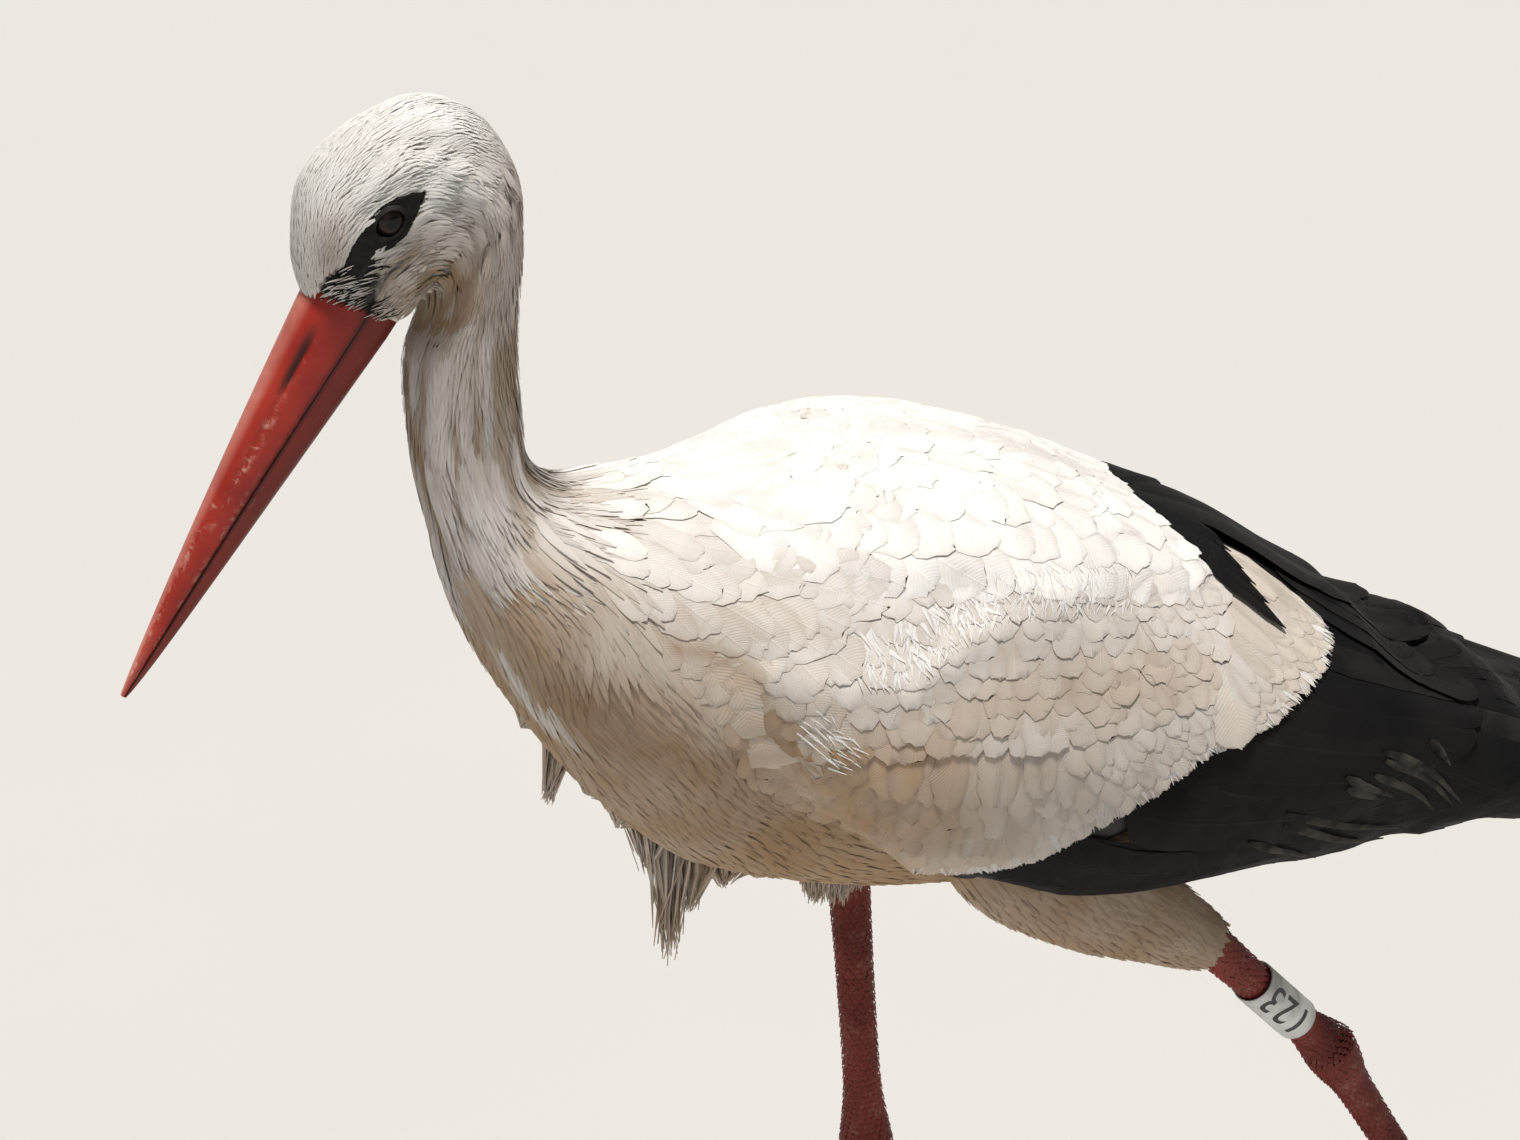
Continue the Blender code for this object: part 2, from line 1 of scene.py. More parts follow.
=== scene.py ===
"""Looks of the white stork: one skin, feathers as joined vanes, scales, horn and eyes.

Metres, +Z up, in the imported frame.  Places on the body are (along, angle): along counts
the sections of the construction's loft from the bill to the wing tips, and angle is in
degrees from the back down the bird's left side, so the right side's are negative.
Offsets from a surface are in millimetres.
"""

import math

import bmesh
import bpy
import numpy as np
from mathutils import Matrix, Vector
from mathutils.bvhtree import BVHTree
from mathutils.kdtree import KDTree


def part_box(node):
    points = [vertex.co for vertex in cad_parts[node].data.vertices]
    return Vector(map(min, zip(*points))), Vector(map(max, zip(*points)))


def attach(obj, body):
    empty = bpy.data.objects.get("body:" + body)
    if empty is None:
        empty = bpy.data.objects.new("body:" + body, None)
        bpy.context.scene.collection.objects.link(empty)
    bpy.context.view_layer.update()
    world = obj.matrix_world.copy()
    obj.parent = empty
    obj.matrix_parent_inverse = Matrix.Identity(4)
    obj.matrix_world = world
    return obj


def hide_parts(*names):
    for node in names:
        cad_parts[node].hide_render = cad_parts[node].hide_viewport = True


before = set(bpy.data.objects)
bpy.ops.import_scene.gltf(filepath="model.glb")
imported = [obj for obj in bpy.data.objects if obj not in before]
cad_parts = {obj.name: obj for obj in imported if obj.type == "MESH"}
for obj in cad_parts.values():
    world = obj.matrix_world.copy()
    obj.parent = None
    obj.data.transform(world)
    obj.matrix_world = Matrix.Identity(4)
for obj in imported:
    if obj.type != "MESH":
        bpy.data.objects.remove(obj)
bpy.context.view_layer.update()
MM = 0.001

# ------------------------------------------------------------- the construction's shape
# dorsal point, ventral point, half width, egg, room, wing thickness on back and flank
BODY_SECTIONS = (
    ((211, 663), (178, 641), 13.0, 0.00, 0, 0, 0),
    ((211.5, 683), (175, 646), 17.0, 0.06, 0, 0, 0),
    ((207, 705), (171, 650), 20.5, 0.10, 0, 0, 0),
    ((190, 721), (168, 654), 22.8, 0.15, 0, 0, 0),
    ((166, 729), (166, 657), 23.5, 0.20, 0, 0, 0),
    ((144, 721), (164, 659), 23.0, 0.20, 0, 0, 0),
    ((131, 700), (163, 657), 22.0, 0.10, 0, 0, 0),
    ((129, 674), (165, 648), 21.0, 0.00, 0, 0, 0),
    ((131, 650), (172, 634), 20.5, 0.00, 0, 0, 0),
    ((132, 625), (173, 614), 20.5, 0.00, 0, 0, 0),
    ((131, 600), (172, 590), 21.0, 0.00, 0, 0, 0),
    ((129, 584), (167, 565), 23.5, 0.00, 0, 0, 0),
    ((117, 574), (162, 538), 29.0, 0.00, 0, 0, 0),
    ((98, 571), (150, 508), 38.0, 0.00, 0, 0, 0),
    ((72, 570), (132, 474), 50.0, 0.00, 0, 2, 6),
    ((41, 571), (107, 439), 60.0, 0.00, 0, 4, 14),
    ((4, 567), (72, 406), 66.0, 0.00, 0, 8, 20),
    ((-36, 556), (25, 386), 67.0, 0.00, 3, 9, 22),
    ((-77, 539), (-25, 374), 64.0, 0.00, 6, 9, 21),
    ((-117, 515), (-78, 368), 58.0, 0.00, 11, 9, 20),
    ((-155, 490), (-126, 374), 50.0, 0.00, 18, 9, 17),
    ((-191, 467), (-171, 384), 40.0, 0.00, 27, 9, 13),
    ((-226, 448), (-213, 393), 31.0, 0.00, 33, 8, 10),
    ((-262, 431), (-257, 370), 34.0, 0.00, 27, 8, 9),
    ((-303, 409), (-303, 354), 34.0, 0.00, 17, 7, 8),
    ((-350, 385), (-352, 343), 30.0, 0.00, 8, 5, 6),
    ((-400, 360), (-402, 336), 18.0, 0.00, 2, 3, 4),
)
# angle from the back, then the forward positions of front, covert and rear edge
WING_ROWS = (
    (2, 8, -82, -328), (16, 30, -92, -352), (28, 48, -116, -372), (40, 60, -152, -388),
    (54, 68, -176, -398), (68, 72, -162, -402), (82, 70, -134, -400), (96, 60, -98, -392),
    (108, 40, -62, -372), (119, 12, -38, -340), (132, -12, -28, -304),
)
WING_CLEARANCE = 1.1
LOWER_ROOM = 0.45
BILL_TIP = (283, 518)
EYE_CENTRE = (181.5, 16.2, 694.5)
EYE_RADIUS = 8.0
RIGHT_LEG = ((0, 31, 426), (-14, 33, 364), (-21, 25, 221), (-24, 19, 9))
LEFT_LEG = ((-40, 28, 400), (-145, 36, 330), (-212, 24, 254), (-320, 16, 72))
THIGH_PROFILE = (
    (0.00, 15, 19), (0.14, 20, 25), (0.32, 21.5, 27), (0.50, 20, 26), (0.68, 17.5, 22),
    (0.84, 14.5, 17), (0.95, 12.5, 13.5), (1.00, 10.8, 11.6),
)
SHANK_PROFILE = (
    (-0.05, 7.8, 8.6), (0.10, 7.6, 8.4), (0.40, 6.8, 7.6), (0.74, 6.8, 7.6), (0.87, 8.2, 9.2),
    (0.95, 9.8, 10.8), (1.00, 10.6, 11.5),
)
TARSUS_PROFILE = (
    (0.00, 10.6, 11.5), (0.055, 9.4, 10.2), (0.12, 6.9, 7.9), (0.30, 6.0, 7.0),
    (0.60, 5.6, 6.6), (0.85, 6.2, 6.8), (0.95, 7.8, 7.4),
)
TOES = (
    ("middle", 3, 15.5, 82, 5.0), ("inner", -38, 15.5, 60, 4.6),
    ("outer", 43, 15.5, 68, 4.6), ("hallux", 172, 12.5, 34, 4.0),
)
TRAILING_DIPS = {
    "middle": (66, 70, 58, 6), "inner": (66, 76, 82, 84),
    "outer": (66, 74, 74, 62), "hallux": (-20, -40, -58, -70),
}
TRAILING_TOES_CLOSE = 0.9
TOE_STEPS = 9
RING_LENGTH = 37.0
RING_OUTER = 10.4
RING_ABOVE_ANKLE = 29.0

eye_low, eye_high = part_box("eye_left")
SHIFT = (eye_low[1] + eye_high[1]) / 2 + EYE_CENTRE[0] * MM  # how far the pack moved it in Y
SIDES = (("left", 1), ("right", -1))
LAST = len(BODY_SECTIONS) - 1.0  # the last section, at the wing tips
WING_LOW = WING_ROWS[-1][0]  # the angle of the folded wing's lower edge


def place(forward, side, up):
    return Vector((side * MM, SHIFT - forward * MM, up * MM))


def ramp(high, low, span):
    """How far one value is above another, as a share of a span, held from 0 to 1."""
    return np.clip((high - low) / span, 0, 1)


def hump(value, middle, width):
    """A bell of height 1 round a middle value."""
    return np.exp(-((value - middle) / width) ** 2)


# --------------------------------------------------------------------- smooth surfaces
def smooth_rows(rows, along):
    """Rows of numbers read at fractional places, on a Catmull-Rom curve that runs on straight."""
    last = len(rows) - 1
    past = np.clip(along - last, 0, 12)[..., None] * (rows[-1] - rows[-2])
    past = past + np.clip(along, -12, 0)[..., None] * (rows[1] - rows[0])
    along = np.clip(along, 0, last)
    start = np.minimum(along.astype(int), last - 1)
    t = (along - start)[..., None]
    before = rows[np.maximum(start - 1, 0)]
    here = rows[start]
    after = rows[start + 1]
    beyond = rows[np.minimum(start + 2, last)]
    slope_in = (after - before) / 2
    slope_out = (beyond - here) / 2
    return (
        here * (2 * t**3 - 3 * t**2 + 1) + slope_in * (t**3 - 2 * t**2 + t)
        + after * (3 * t**2 - 2 * t**3) + slope_out * (t**3 - t**2) + past
    )


BODY_TABLE = np.array([(*dorsal, *ventral, *rest) for dorsal, ventral, *rest in BODY_SECTIONS])


def loft(along, angle, off=0.0, share=0.0, stand=0.0):
    """Points of the body's loft, with a share of the wing's thickness over a stand-off."""
    along, angle = np.broadcast_arrays(np.asarray(along, float), np.asarray(angle, float))
    row = smooth_rows(BODY_TABLE, along)
    half_width, egg, room, on_back, on_flank = (row[..., k] for k in range(4, 9))
    across = row[..., 0:2] - row[..., 2:4]
    half_depth = np.linalg.norm(across, axis=-1) / 2
    up = across / (2 * half_depth)[..., None]
    sin, cos = np.sin(np.radians(angle)), np.cos(np.radians(angle))
    thick = off + share * (on_back + (on_flank - on_back) * sin**2)
    below = LOWER_ROOM * room * (np.abs(angle) > 90)
    deep = half_depth + thick + stand * (WING_CLEARANCE + below)
    wide = half_width + thick + stand * (WING_CLEARANCE + room)
    spot = (row[..., 0:2] + row[..., 2:4]) / 2 + up * (deep * cos)[..., None]
    side = wide * sin * (1 + egg * cos)
    return np.stack((side * MM, SHIFT - spot[..., 0] * MM, spot[..., 1] * MM), -1)


def along_at(forward, angle):
    """Where along the wing's outer surface a forward position lies."""
    low, high = 10.0, LAST
    for _ in range(30):
        middle = (low + high) / 2
        if loft(middle, angle, 0, 1, 1)[1] < SHIFT - forward * MM:
            low = middle
        else:
            high = middle
    return (low + high) / 2


WING_ANGLES = np.array([row[0] for row in WING_ROWS], float)
WING_EDGES = np.array([[along_at(edge, row[0]) for edge in row[1:]] for row in WING_ROWS])
HEM_ANGLES = (0, 14, 30, 108, 119, 132)
HEM_SHARES = (0.80, 0.88, 1.0, 1.0, 0.72, 0.16)


def wing_share(along, angle):
    """The share of its thickness that the folded wing has, and how far it has begun."""
    angle = np.abs(angle)
    front, covert, rear = (np.interp(angle, WING_ANGLES, WING_EDGES[:, k]) for k in range(3))
    begun = (along - front) / (covert - front)
    ahead = np.sin(np.pi / 2 * np.clip(0.12 + 2.5 * begun, 0, 1))
    hem = np.interp(angle, HEM_ANGLES, HEM_SHARES)
    left = ramp(rear, along, rear - covert)
    return np.minimum(np.minimum(ahead, hem), 0.35 + 0.65 * left**0.6), begun


# the fluffy ridge above the coverts, and the lower edge of the shoulder feathers
RIDGE_LINE = ((15.6, 78), (16.4, 73), (16.6, 67), (17.05, 59), (17.5, 56), (18.0, 54),
              (18.6, 50), (19.3, 44))
SHOULDER_EDGE = ((15.0, 52), (15.6, 52), (16.1, 54), (16.65, 51), (17.1, 54), (17.6, 54),
                 (18.0, 50), (18.55, 43), (19.15, 41), (19.38, 32), (19.6, 20), (19.77, 6))


def line_at(line, along):
    corners = np.array(line, float)
    return np.interp(along, corners[:, 0], corners[:, 1])


def sink(along, angle):
    """How far the back lies below the construction behind the shoulder feathers."""
    deep = np.interp(along, (21.4, 22.1, 22.5, 23.0, 23.3, 23.75, 24.3, 25.0),
                     (0, 11, 9, 2, 3, 12, 10, 8))
    return deep * ramp(62, np.abs(angle), 26)


def relief(along, angle):
    """How far the folded wing's plumage swells, in millimetres."""
    angle = np.abs(angle)
    over_wing = ramp(along, 15.0, 0.8) * ramp(20.2, along, 1.0)
    edge = line_at(SHOULDER_EDGE, along)
    shoulder = ramp(edge + 4, angle, 9)
    shoulder = shoulder * shoulder * (3 - 2 * shoulder) * np.clip(angle / 30, 0, 1)
    ridge = np.exp(-((angle - line_at(RIDGE_LINE, along)) / 5.5) ** 2)
    ridge = ridge * ramp(18.8, along, 1.5)
    coverts = hump(angle, 100, 22)
    bumps = noise(along * 1.3, angle / 14, 2) - 0.5
    rump = np.exp(-((along - 19.9) / 0.85) ** 2 - (angle / 30) ** 2)
    swell = over_wing * (3.4 * shoulder + 2.2 * ridge + 1.5 * coverts + 2.0 * bumps)
    return swell + 6 * rump - sink(along, angle)


def wing(along, angle, off=0.0):
    """The outer surface of the folded wings."""
    share, _ = wing_share(along, angle)
    return loft(along, angle, off + relief(along, angle), share, 1.0)


def cape(along, angle, off=0.0):
    """The body, rising onto the wings where they begin."""
    share, begun = wing_share(along, angle)
    onto = np.clip(begun * 5 + 0.6, 0, 1) * ramp(WING_LOW, np.abs(angle), 16)
    onto = onto * onto * (3 - 2 * onto)
    return loft(along, angle, off + onto * relief(along, angle), share * onto, onto)


def tree_of(points):
    """A search tree that gives the number of the nearest of some points."""
    tree = KDTree(len(points))
    for i, spot in enumerate(points):
        tree.insert(spot, i)
    tree.balance()
    return tree


class Tube:
    """A surface round a path of (point, half width, half depth); along counts its rows."""

    def __init__(self, path):
        self.rows = np.array([(*point, wide, deep) for point, wide, deep in path])

    def __call__(self, along, angle, off=0.0):
        along, angle = np.broadcast_arrays(np.asarray(along, float), np.asarray(angle, float))
        row = smooth_rows(self.rows, along)
        middle = np.clip(along, 0.3, len(self.rows) - 1.3)
        ahead = smooth_rows(self.rows, middle + 0.3)[..., :3]
        ahead = ahead - smooth_rows(self.rows, middle - 0.3)[..., :3]
        ahead /= np.linalg.norm(ahead, axis=-1)[..., None]
        steep = np.abs(self.rows[-1, 2] - self.rows[0, 2]) > 0.8 * np.linalg.norm(
            self.rows[-1, :3] - self.rows[0, :3]
        )
        guide = np.array((0.0, -1.0, 0.0) if steep else (0.0, 0.0, 1.0))
        across = np.cross(ahead, guide)
        across /= np.linalg.norm(across, axis=-1)[..., None]
        upward = np.cross(across, ahead)
        sin, cos = np.sin(np.radians(angle)), np.cos(np.radians(angle))
        return (
            row[..., :3]
            + across * ((row[..., 3] + off * MM) * sin)[..., None]
            + upward * ((row[..., 4] + off * MM) * cos)[..., None]
        )


def limb(start, end, profile):
    """A tube between two joints from (share, half width, half depth) rows."""
    start, end = place(*start), place(*end)
    return Tube([(start + (end - start) * t, w * MM, d * MM) for t, w, d in profile])


def toe_path(side, sign, foot, name, spread, root, length, radius):
    """The path of a toe, planted on the right and trailing on the left."""
    planted = side == "right"
    dips = np.array(((0.0,), (0.0,)) if planted else [(d,) for d in TRAILING_DIPS[name]])
    close = 0.0 if planted or name == "hallux" else TRAILING_TOES_CLOSE

    def heading(share):
        turn = math.radians(spread * (1 - close * share))
        dip = math.radians(smooth_rows(dips, np.array(share * (len(dips) - 1)))[0])
        ahead = math.cos(turn)
        return Vector((sign * math.sin(turn), -ahead * math.cos(dip), -ahead * math.sin(dip)))

    point = foot + heading(0) * root * MM
    lowest = radius * 0.78 * MM
    if planted:
        point.z = lowest
    path = []
    for i in range(TOE_STEPS + 1):
        share = i / TOE_STEPS
        thick = radius * (1 - 0.30 * share) * (1 + 0.10 * math.cos(6 * math.pi * share))
        if i == TOE_STEPS:
            thick *= 0.72
        path.append((point.copy(), thick * MM, thick * 0.92 * MM))
        point = point + heading(share) * length * MM / TOE_STEPS
        point.z = max(point.z, lowest * (1 - 0.30 * share))
    return path


# -------------------------------------------------------------------------- mesh tools
def noise(x, y, seed):
    """Smooth noise from 0 to 1 over a plane."""
    x, y = np.broadcast_arrays(np.asarray(x, float), np.asarray(y, float))
    cell_x, cell_y = np.floor(x).astype(np.int64), np.floor(y).astype(np.int64)
    fx, fy = x - cell_x, y - cell_y
    fx, fy = fx * fx * (3 - 2 * fx), fy * fy * (3 - 2 * fy)

    def corner(i, j):
        mixed = (cell_x + i) * 374761393 + (cell_y + j) * 668265263 + seed * 144665
        mixed = ((mixed ^ (mixed >> 13)) * 1274126177) & 0x7FFFFFFF
        return ((mixed ^ (mixed >> 16)) & 0xFFFF) / 65535.0

    low = corner(0, 0) * (1 - fx) + corner(1, 0) * fx
    high = corner(0, 1) * (1 - fx) + corner(1, 1) * fx
    return low * (1 - fy) + high * fy


def mesh_object(name, points, faces, look, uvs=None, facts=None):
    """A shown piece from arrays.

    faces is a list of equal-sided face arrays, look is a material and its slot, and the uvs
    and facts are per point.
    """
    mesh = bpy.data.meshes.new(name)
    corners = np.concatenate([part.ravel() for part in faces])
    sizes = np.concatenate([np.full(len(part), part.shape[1]) for part in faces])
    mesh.vertices.add(len(points))
    mesh.vertices.foreach_set("co", np.asarray(points, np.float32).ravel())
    mesh.loops.add(len(corners))
    mesh.loops.foreach_set("vertex_index", corners.astype(np.int32))
    mesh.polygons.add(len(sizes))
    mesh.polygons.foreach_set("loop_start", (np.cumsum(sizes) - sizes).astype(np.int32))
    mesh.update(calc_edges=True)
    for label, values in (uvs or {}).items():
        layer = mesh.uv_layers.new(name=label)
        layer.data.foreach_set("uv", np.asarray(values, np.float32)[corners].ravel())
    for label, values in (facts or {}).items():
        made = mesh.attributes.new(label, "FLOAT", "POINT")
        made.data.foreach_set("value", np.asarray(values, np.float32))
    mesh.validate()
    return add_piece(name, mesh, look)


def add_piece(name, mesh, look, sharp=60):
    """Shows a mesh, with its edges sharp from an angle in degrees."""
    material, slot = look
    mesh.materials.clear()
    mesh.materials.append(material)
    mesh.shade_smooth()
    mesh.set_sharp_from_angle(angle=math.radians(sharp))
    obj = bpy.data.objects.new(name, mesh)
    bpy.context.scene.collection.objects.link(obj)
    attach(obj, "root")
    return obj


# ---------------------------------------------------------------------------- feathers
def round_outline(s):
    root = np.clip(0.15 + s / 0.5, 0, 1) ** 0.8
    return root * np.sqrt(np.clip(1 - ramp(s, 0.58, 0.42) ** 2.4, 0.003, 1))


def lance_outline(s):
    return np.clip(0.35 + s / 0.3, 0, 1) * np.clip(1 - s, 0.01, 1) ** 0.62


def blade_outline(s):
    root = np.clip(0.25 + s / 0.12, 0, 1)
    return root * np.sqrt(np.clip(1 - ramp(s, 0.80, 0.20) ** 2.2, 0.004, 1))


class Vane:
    """How one kind of feather is shaped.

    steps and across count its rows and columns, and root and tip are its ends' offsets from
    the surface.
    """

    def __init__(self, outline, steps, across, root, tip, camber, tilt=0.0, ragged=0.0,
                 bunch=1.4, lift=1.0):
        self.outline = outline
        self.steps = steps
        self.across = across
        self.root = root
        self.tip = tip
        self.camber = camber  # how far its middle stands above its edges
        self.tilt = tilt  # how far one edge stands above the other
        self.ragged = ragged  # how far its rim is frayed
        self.bunch = bunch  # over 1 puts more rows near the tip
        self.lift = lift  # over 1 keeps the vane down until near its tip


SMALL_ALONG = 0.02  # steps that slopes are measured over
SMALL_ANGLE = 0.5


def tangents(surface, along, angle):
    """Metres for each section and each degree at places on a surface."""
    here = surface(along, angle)
    return ((surface(along + SMALL_ALONG, angle) - here) / SMALL_ALONG,
            (surface(along, angle + SMALL_ANGLE) - here) / SMALL_ANGLE)


def as_places(to_tail, down, way, metres):
    """The change of (along, angle) that moves metres along a direction on the surface."""
    tt = np.einsum("ij,ij->i", to_tail, to_tail)
    td = np.einsum("ij,ij->i", to_tail, down)
    dd = np.einsum("ij,ij->i", down, down)
    wt = np.einsum("ij,ij->i", way, to_tail) * metres
    wd = np.einsum("ij,ij->i", way, down) * metres
    scale = np.maximum(tt * dd - td * td, 1e-14)
    return (wt * dd - wd * td) / scale, (wd * tt - wt * td) / scale


def ways(to_tail, down, heading):
    """Unit vectors ahead and beside for headings in degrees, 0 tailwards, 90 down the side."""
    first = to_tail / np.linalg.norm(to_tail, axis=1)[:, None]
    second = down - first * np.einsum("ij,ij->i", down, first)[:, None]
    second /= np.maximum(np.linalg.norm(second, axis=1), 1e-12)[:, None]
    turn = np.radians(heading)[:, None]
    return (first * np.cos(turn) + second * np.sin(turn),
            second * np.cos(turn) - first * np.sin(turn))


def lay(surface, places, heading, length, width, vane, seed, extra=0.0):
    """Grids of points for feathers that follow a surface, facing out."""
    rng = np.random.default_rng(seed)
    count = len(places)
    along, angle = places[:, 0].copy(), places[:, 1].copy()
    heading, length, width, extra = (
        np.broadcast_to(np.asarray(value, float), (count,)).copy()
        for value in (heading, length, width, extra)
    )
    shares = 1 - (1 - np.linspace(0, 1, vane.steps + 1)) ** vane.bunch
    across = np.linspace(-1, 1, vane.across + 1)
    side = np.sign(angle + 1e-9)
    lines = []
    for i, share in enumerate(shares):
        to_tail, down = tangents(surface, along, angle)
        ahead, beside = ways(to_tail, down, heading)
        half = width / 2 * MM * vane.outline(share)
        fray = rng.normal(0, 1, (count, len(across))) * vane.ragged
        fray *= np.maximum(np.abs(across), max(0.0, share * 4 - 3.2)) ** 3
        over = half[:, None] * across * (1 + fray)
        d_along, d_angle = as_places(to_tail, down, beside, 1.0)
        a_along, a_angle = as_places(to_tail, down, ahead, 1.0)
        reach = fray * share * width[:, None] * MM * 0.5
        off = vane.root + (vane.tip - vane.root) * share**vane.lift + extra[:, None]
        off = off + vane.camber * (1 - across**2) * min(1.0, share * 4 + 0.3)
        off = off + vane.tilt * across * side[:, None] * min(1.0, share * 3)
        lines.append(surface(
            along[:, None] + d_along[:, None] * over + a_along[:, None] * reach,
            angle[:, None] + d_angle[:, None] * over + a_angle[:, None] * reach,
            off,
        ))
        if i < vane.steps:
            step = length * MM * (shares[i + 1] - share)
            along += a_along * step
            angle += a_angle * step
    grids = np.stack(lines, 1)
    out = surface(places[:, 0], places[:, 1], 1.0) - surface(places[:, 0], places[:, 1], 0.0)
    return facing(grids, out)


def facing(grids, out):
    """The grids with their columns turned so that each vane's front faces out."""
    middle = grids.shape[1] // 2
    ahead = grids[:, middle] - grids[:, middle - 1]
    over = grids[:, middle, -1] - grids[:, middle, 0]
    wrong = np.einsum("ij,ij->i", np.cross(ahead.mean(1), over), out) < 0
    grids[wrong] = grids[wrong][:, :, ::-1]
    return grids


def hang(roots, ahead, beside, length, width, vane, seed, droop):
    """Grids of points for free feathers that curve from a direction towards the floor."""
    rng = np.random.default_rng(seed)
    shares = 1 - (1 - np.linspace(0, 1, vane.steps + 1)) ** vane.bunch
    across = np.linspace(-1, 1, vane.across + 1)
    normal = np.cross(ahead, beside)
    lines = []
    point = roots.copy()
    for i, share in enumerate(shares):
        way = ahead + np.array((0, 0, -1.0)) * droop * share
        way /= np.linalg.norm(way, axis=1)[:, None]
        half = (width / 2 * MM * vane.outline(share))[:, None, None]
        fray = 1 + rng.normal(0, 1, (len(roots), len(across), 1)) * vane.ragged
        curve = (vane.camber * MM * (1 - across**2))[None, :, None]
        lines.append(
            point[:, None] + beside[:, None] * half * across[None, :, None] * fray
            + normal[:, None] * curve
        )
        if i < vane.steps:
            point = point + way * (length * MM * (shares[i + 1] - share))[:, None]
    return facing(np.stack(lines, 1), normal)


PATCH = 0.003  # side of a feather's patch on the OFBake map


def join(name, grids, homes, tone, stain, look):
    """One closed mesh of many vanes. homes are their places on the unwrap, from 0 to 1."""
    count, rows, columns = grids.shape[:3]
    index = np.arange(count * rows * columns).reshape(count, rows, columns)
    top = np.stack((
        index[:, :-1, :-1], index[:, 1:, :-1], index[:, 1:, 1:], index[:, :-1, 1:]), -1)
    under = np.stack((
        index[:, :-1, 0], index[:, :-1, -1], index[:, 1:, -1], index[:, 1:, 0]), -1)
    faces = [
        top.reshape(-1, 4), under.reshape(-1, 4),
        index[:, 0, :].reshape(-1, columns), index[:, -1, ::-1].reshape(-1, columns),
    ]
    down, over = np.meshgrid(np.linspace(0, 1, rows), np.linspace(0, 1, columns), indexing="ij")
    patch = np.stack((over, down), -1)
    vane_map = np.broadcast_to(patch, (count, rows, columns, 2))
    bake_map = np.clip(homes, 0.003, 0.997)[:, None, None] + (patch - 0.5) * PATCH

    def per_point(value):
        value = np.asarray(value, float)
        if value.ndim < 2:
            value = np.broadcast_to(value, (count,))[:, None]
        return (value * np.ones((count, rows * columns))).ravel()

    return mesh_object(
        name, grids.reshape(-1, 3), faces, look,
        uvs={"OFBake": bake_map.reshape(-1, 2), "Vane": vane_map.reshape(-1, 2)},
        facts={"tone": per_point(tone), "stain": per_point(stain)},
    )


def home(places, last=LAST):
    """Places on the body's unwrap, where along runs from 0 to last."""
    turns = places[:, 1] / 380 + 0.5
    return np.stack((0.01 + 0.98 * places[:, 0] / last, turns), -1)


def scatter(surface, along_span, angle_span, row_gap, side_gap, seed, jitter=0.35):
    """Places for feathers in staggered rows, as far apart as the gaps in millimetres.

    angle_span holds numbers or functions of along.
    """
    rng = np.random.default_rng(seed)
    low, high = (edge if callable(edge) else (lambda a, e=edge: e) for edge in angle_span)
    fine = np.linspace(*along_span, 160)
    share = np.linspace(0, 1, 50)[:, None]
    angles = np.array([low(a) + (high(a) - low(a)) * share[:, 0] for a in fine])
    moved = surface(fine[:, None] + SMALL_ALONG, angles) - surface(fine[:, None], angles)
    lengths = np.linalg.norm(moved, axis=-1) / SMALL_ALONG
    longest = np.percentile(lengths, 90, axis=1)
    run = np.concatenate(((0,), np.cumsum(longest[1:] * np.diff(fine))))
    rows = np.interp(np.arange(0, run[-1], row_gap * MM), run, fine)
    found = []
    for k, row in enumerate(rows):
        angles = low(row) + (high(row) - low(row)) * share[:, 0]
        points = surface(row, angles)
        way = np.concatenate(((0,), np.cumsum(np.linalg.norm(np.diff(points, axis=0), axis=1))))
        spots = np.arange((k % 2) * side_gap * MM / 2, way[-1], side_gap * MM)
        spots = spots + rng.uniform(-jitter, jitter, len(spots)) * side_gap * MM
        turned = np.interp(spots, way, angles)
        here = np.interp(row, fine, longest)
        moved = surface(row + SMALL_ALONG, turned) - surface(row, turned)
        local = np.linalg.norm(moved, axis=-1) / SMALL_ALONG
        kept = rng.uniform(0, 1, len(turned)) < local / here * 1.05
        shifted = row + rng.uniform(-jitter, jitter, len(turned)) * row_gap * MM / here
        found.append(np.stack((shifted, turned), -1)[kept])
    return np.concatenate(found)


def rows_between(surface, first, last, rows, gap, seed, jitter):
    """Staggered rows of places from one line of corners to another.

    Also how far across from line to line each place is, and how far along its row.
    """
    rng = np.random.default_rng(seed)
    fine = np.linspace(0, 1, 90)
    ends = []
    for line in (first, last):
        line = np.array(line, float)
        knots = np.linspace(0, 1, len(line))
        ends.append(np.stack([np.interp(fine, knots, line[:, k]) for k in (0, 1)], -1))
    found, shares, runs = [], [], []
    for k in range(rows):
        share = k / max(rows - 1, 1)
        line = ends[0] + (ends[1] - ends[0]) * share
        points = surface(line[:, 0], line[:, 1])
        run = np.concatenate(((0,), np.cumsum(np.linalg.norm(np.diff(points, axis=0), axis=1))))
        spots = np.arange((k % 2 + 0.5) * gap * MM / 2, run[-1], gap * MM)
        spots = spots + rng.uniform(-jitter, jitter, len(spots)) * gap * MM
        found.append(np.stack([np.interp(spots, run, line[:, j]) for j in (0, 1)], -1))
        shares.append(np.full(len(spots), share))
        runs.append(spots / run[-1])
    return np.concatenate(found), np.concatenate(shares), np.concatenate(runs)


WALK_STEPS = 8


def walk(surface, places, heading, length):
    """Places reached by walking millimetres along a heading."""
    places = places.copy()
    side = np.sign(places[:, 1] + 1e-9)
    for _ in range(WALK_STEPS):
        to_tail, down = tangents(surface, places[:, 0], places[:, 1])
        ahead, _ = ways(to_tail, down, side * heading)
        step_along, step_angle = as_places(to_tail, down, ahead, 1.0)
        places[:, 0] += step_along * length * MM / WALK_STEPS
        places[:, 1] += step_angle * length * MM / WALK_STEPS
    return places


def mirrored(places):
    return np.concatenate((places, places * (1, -1)))


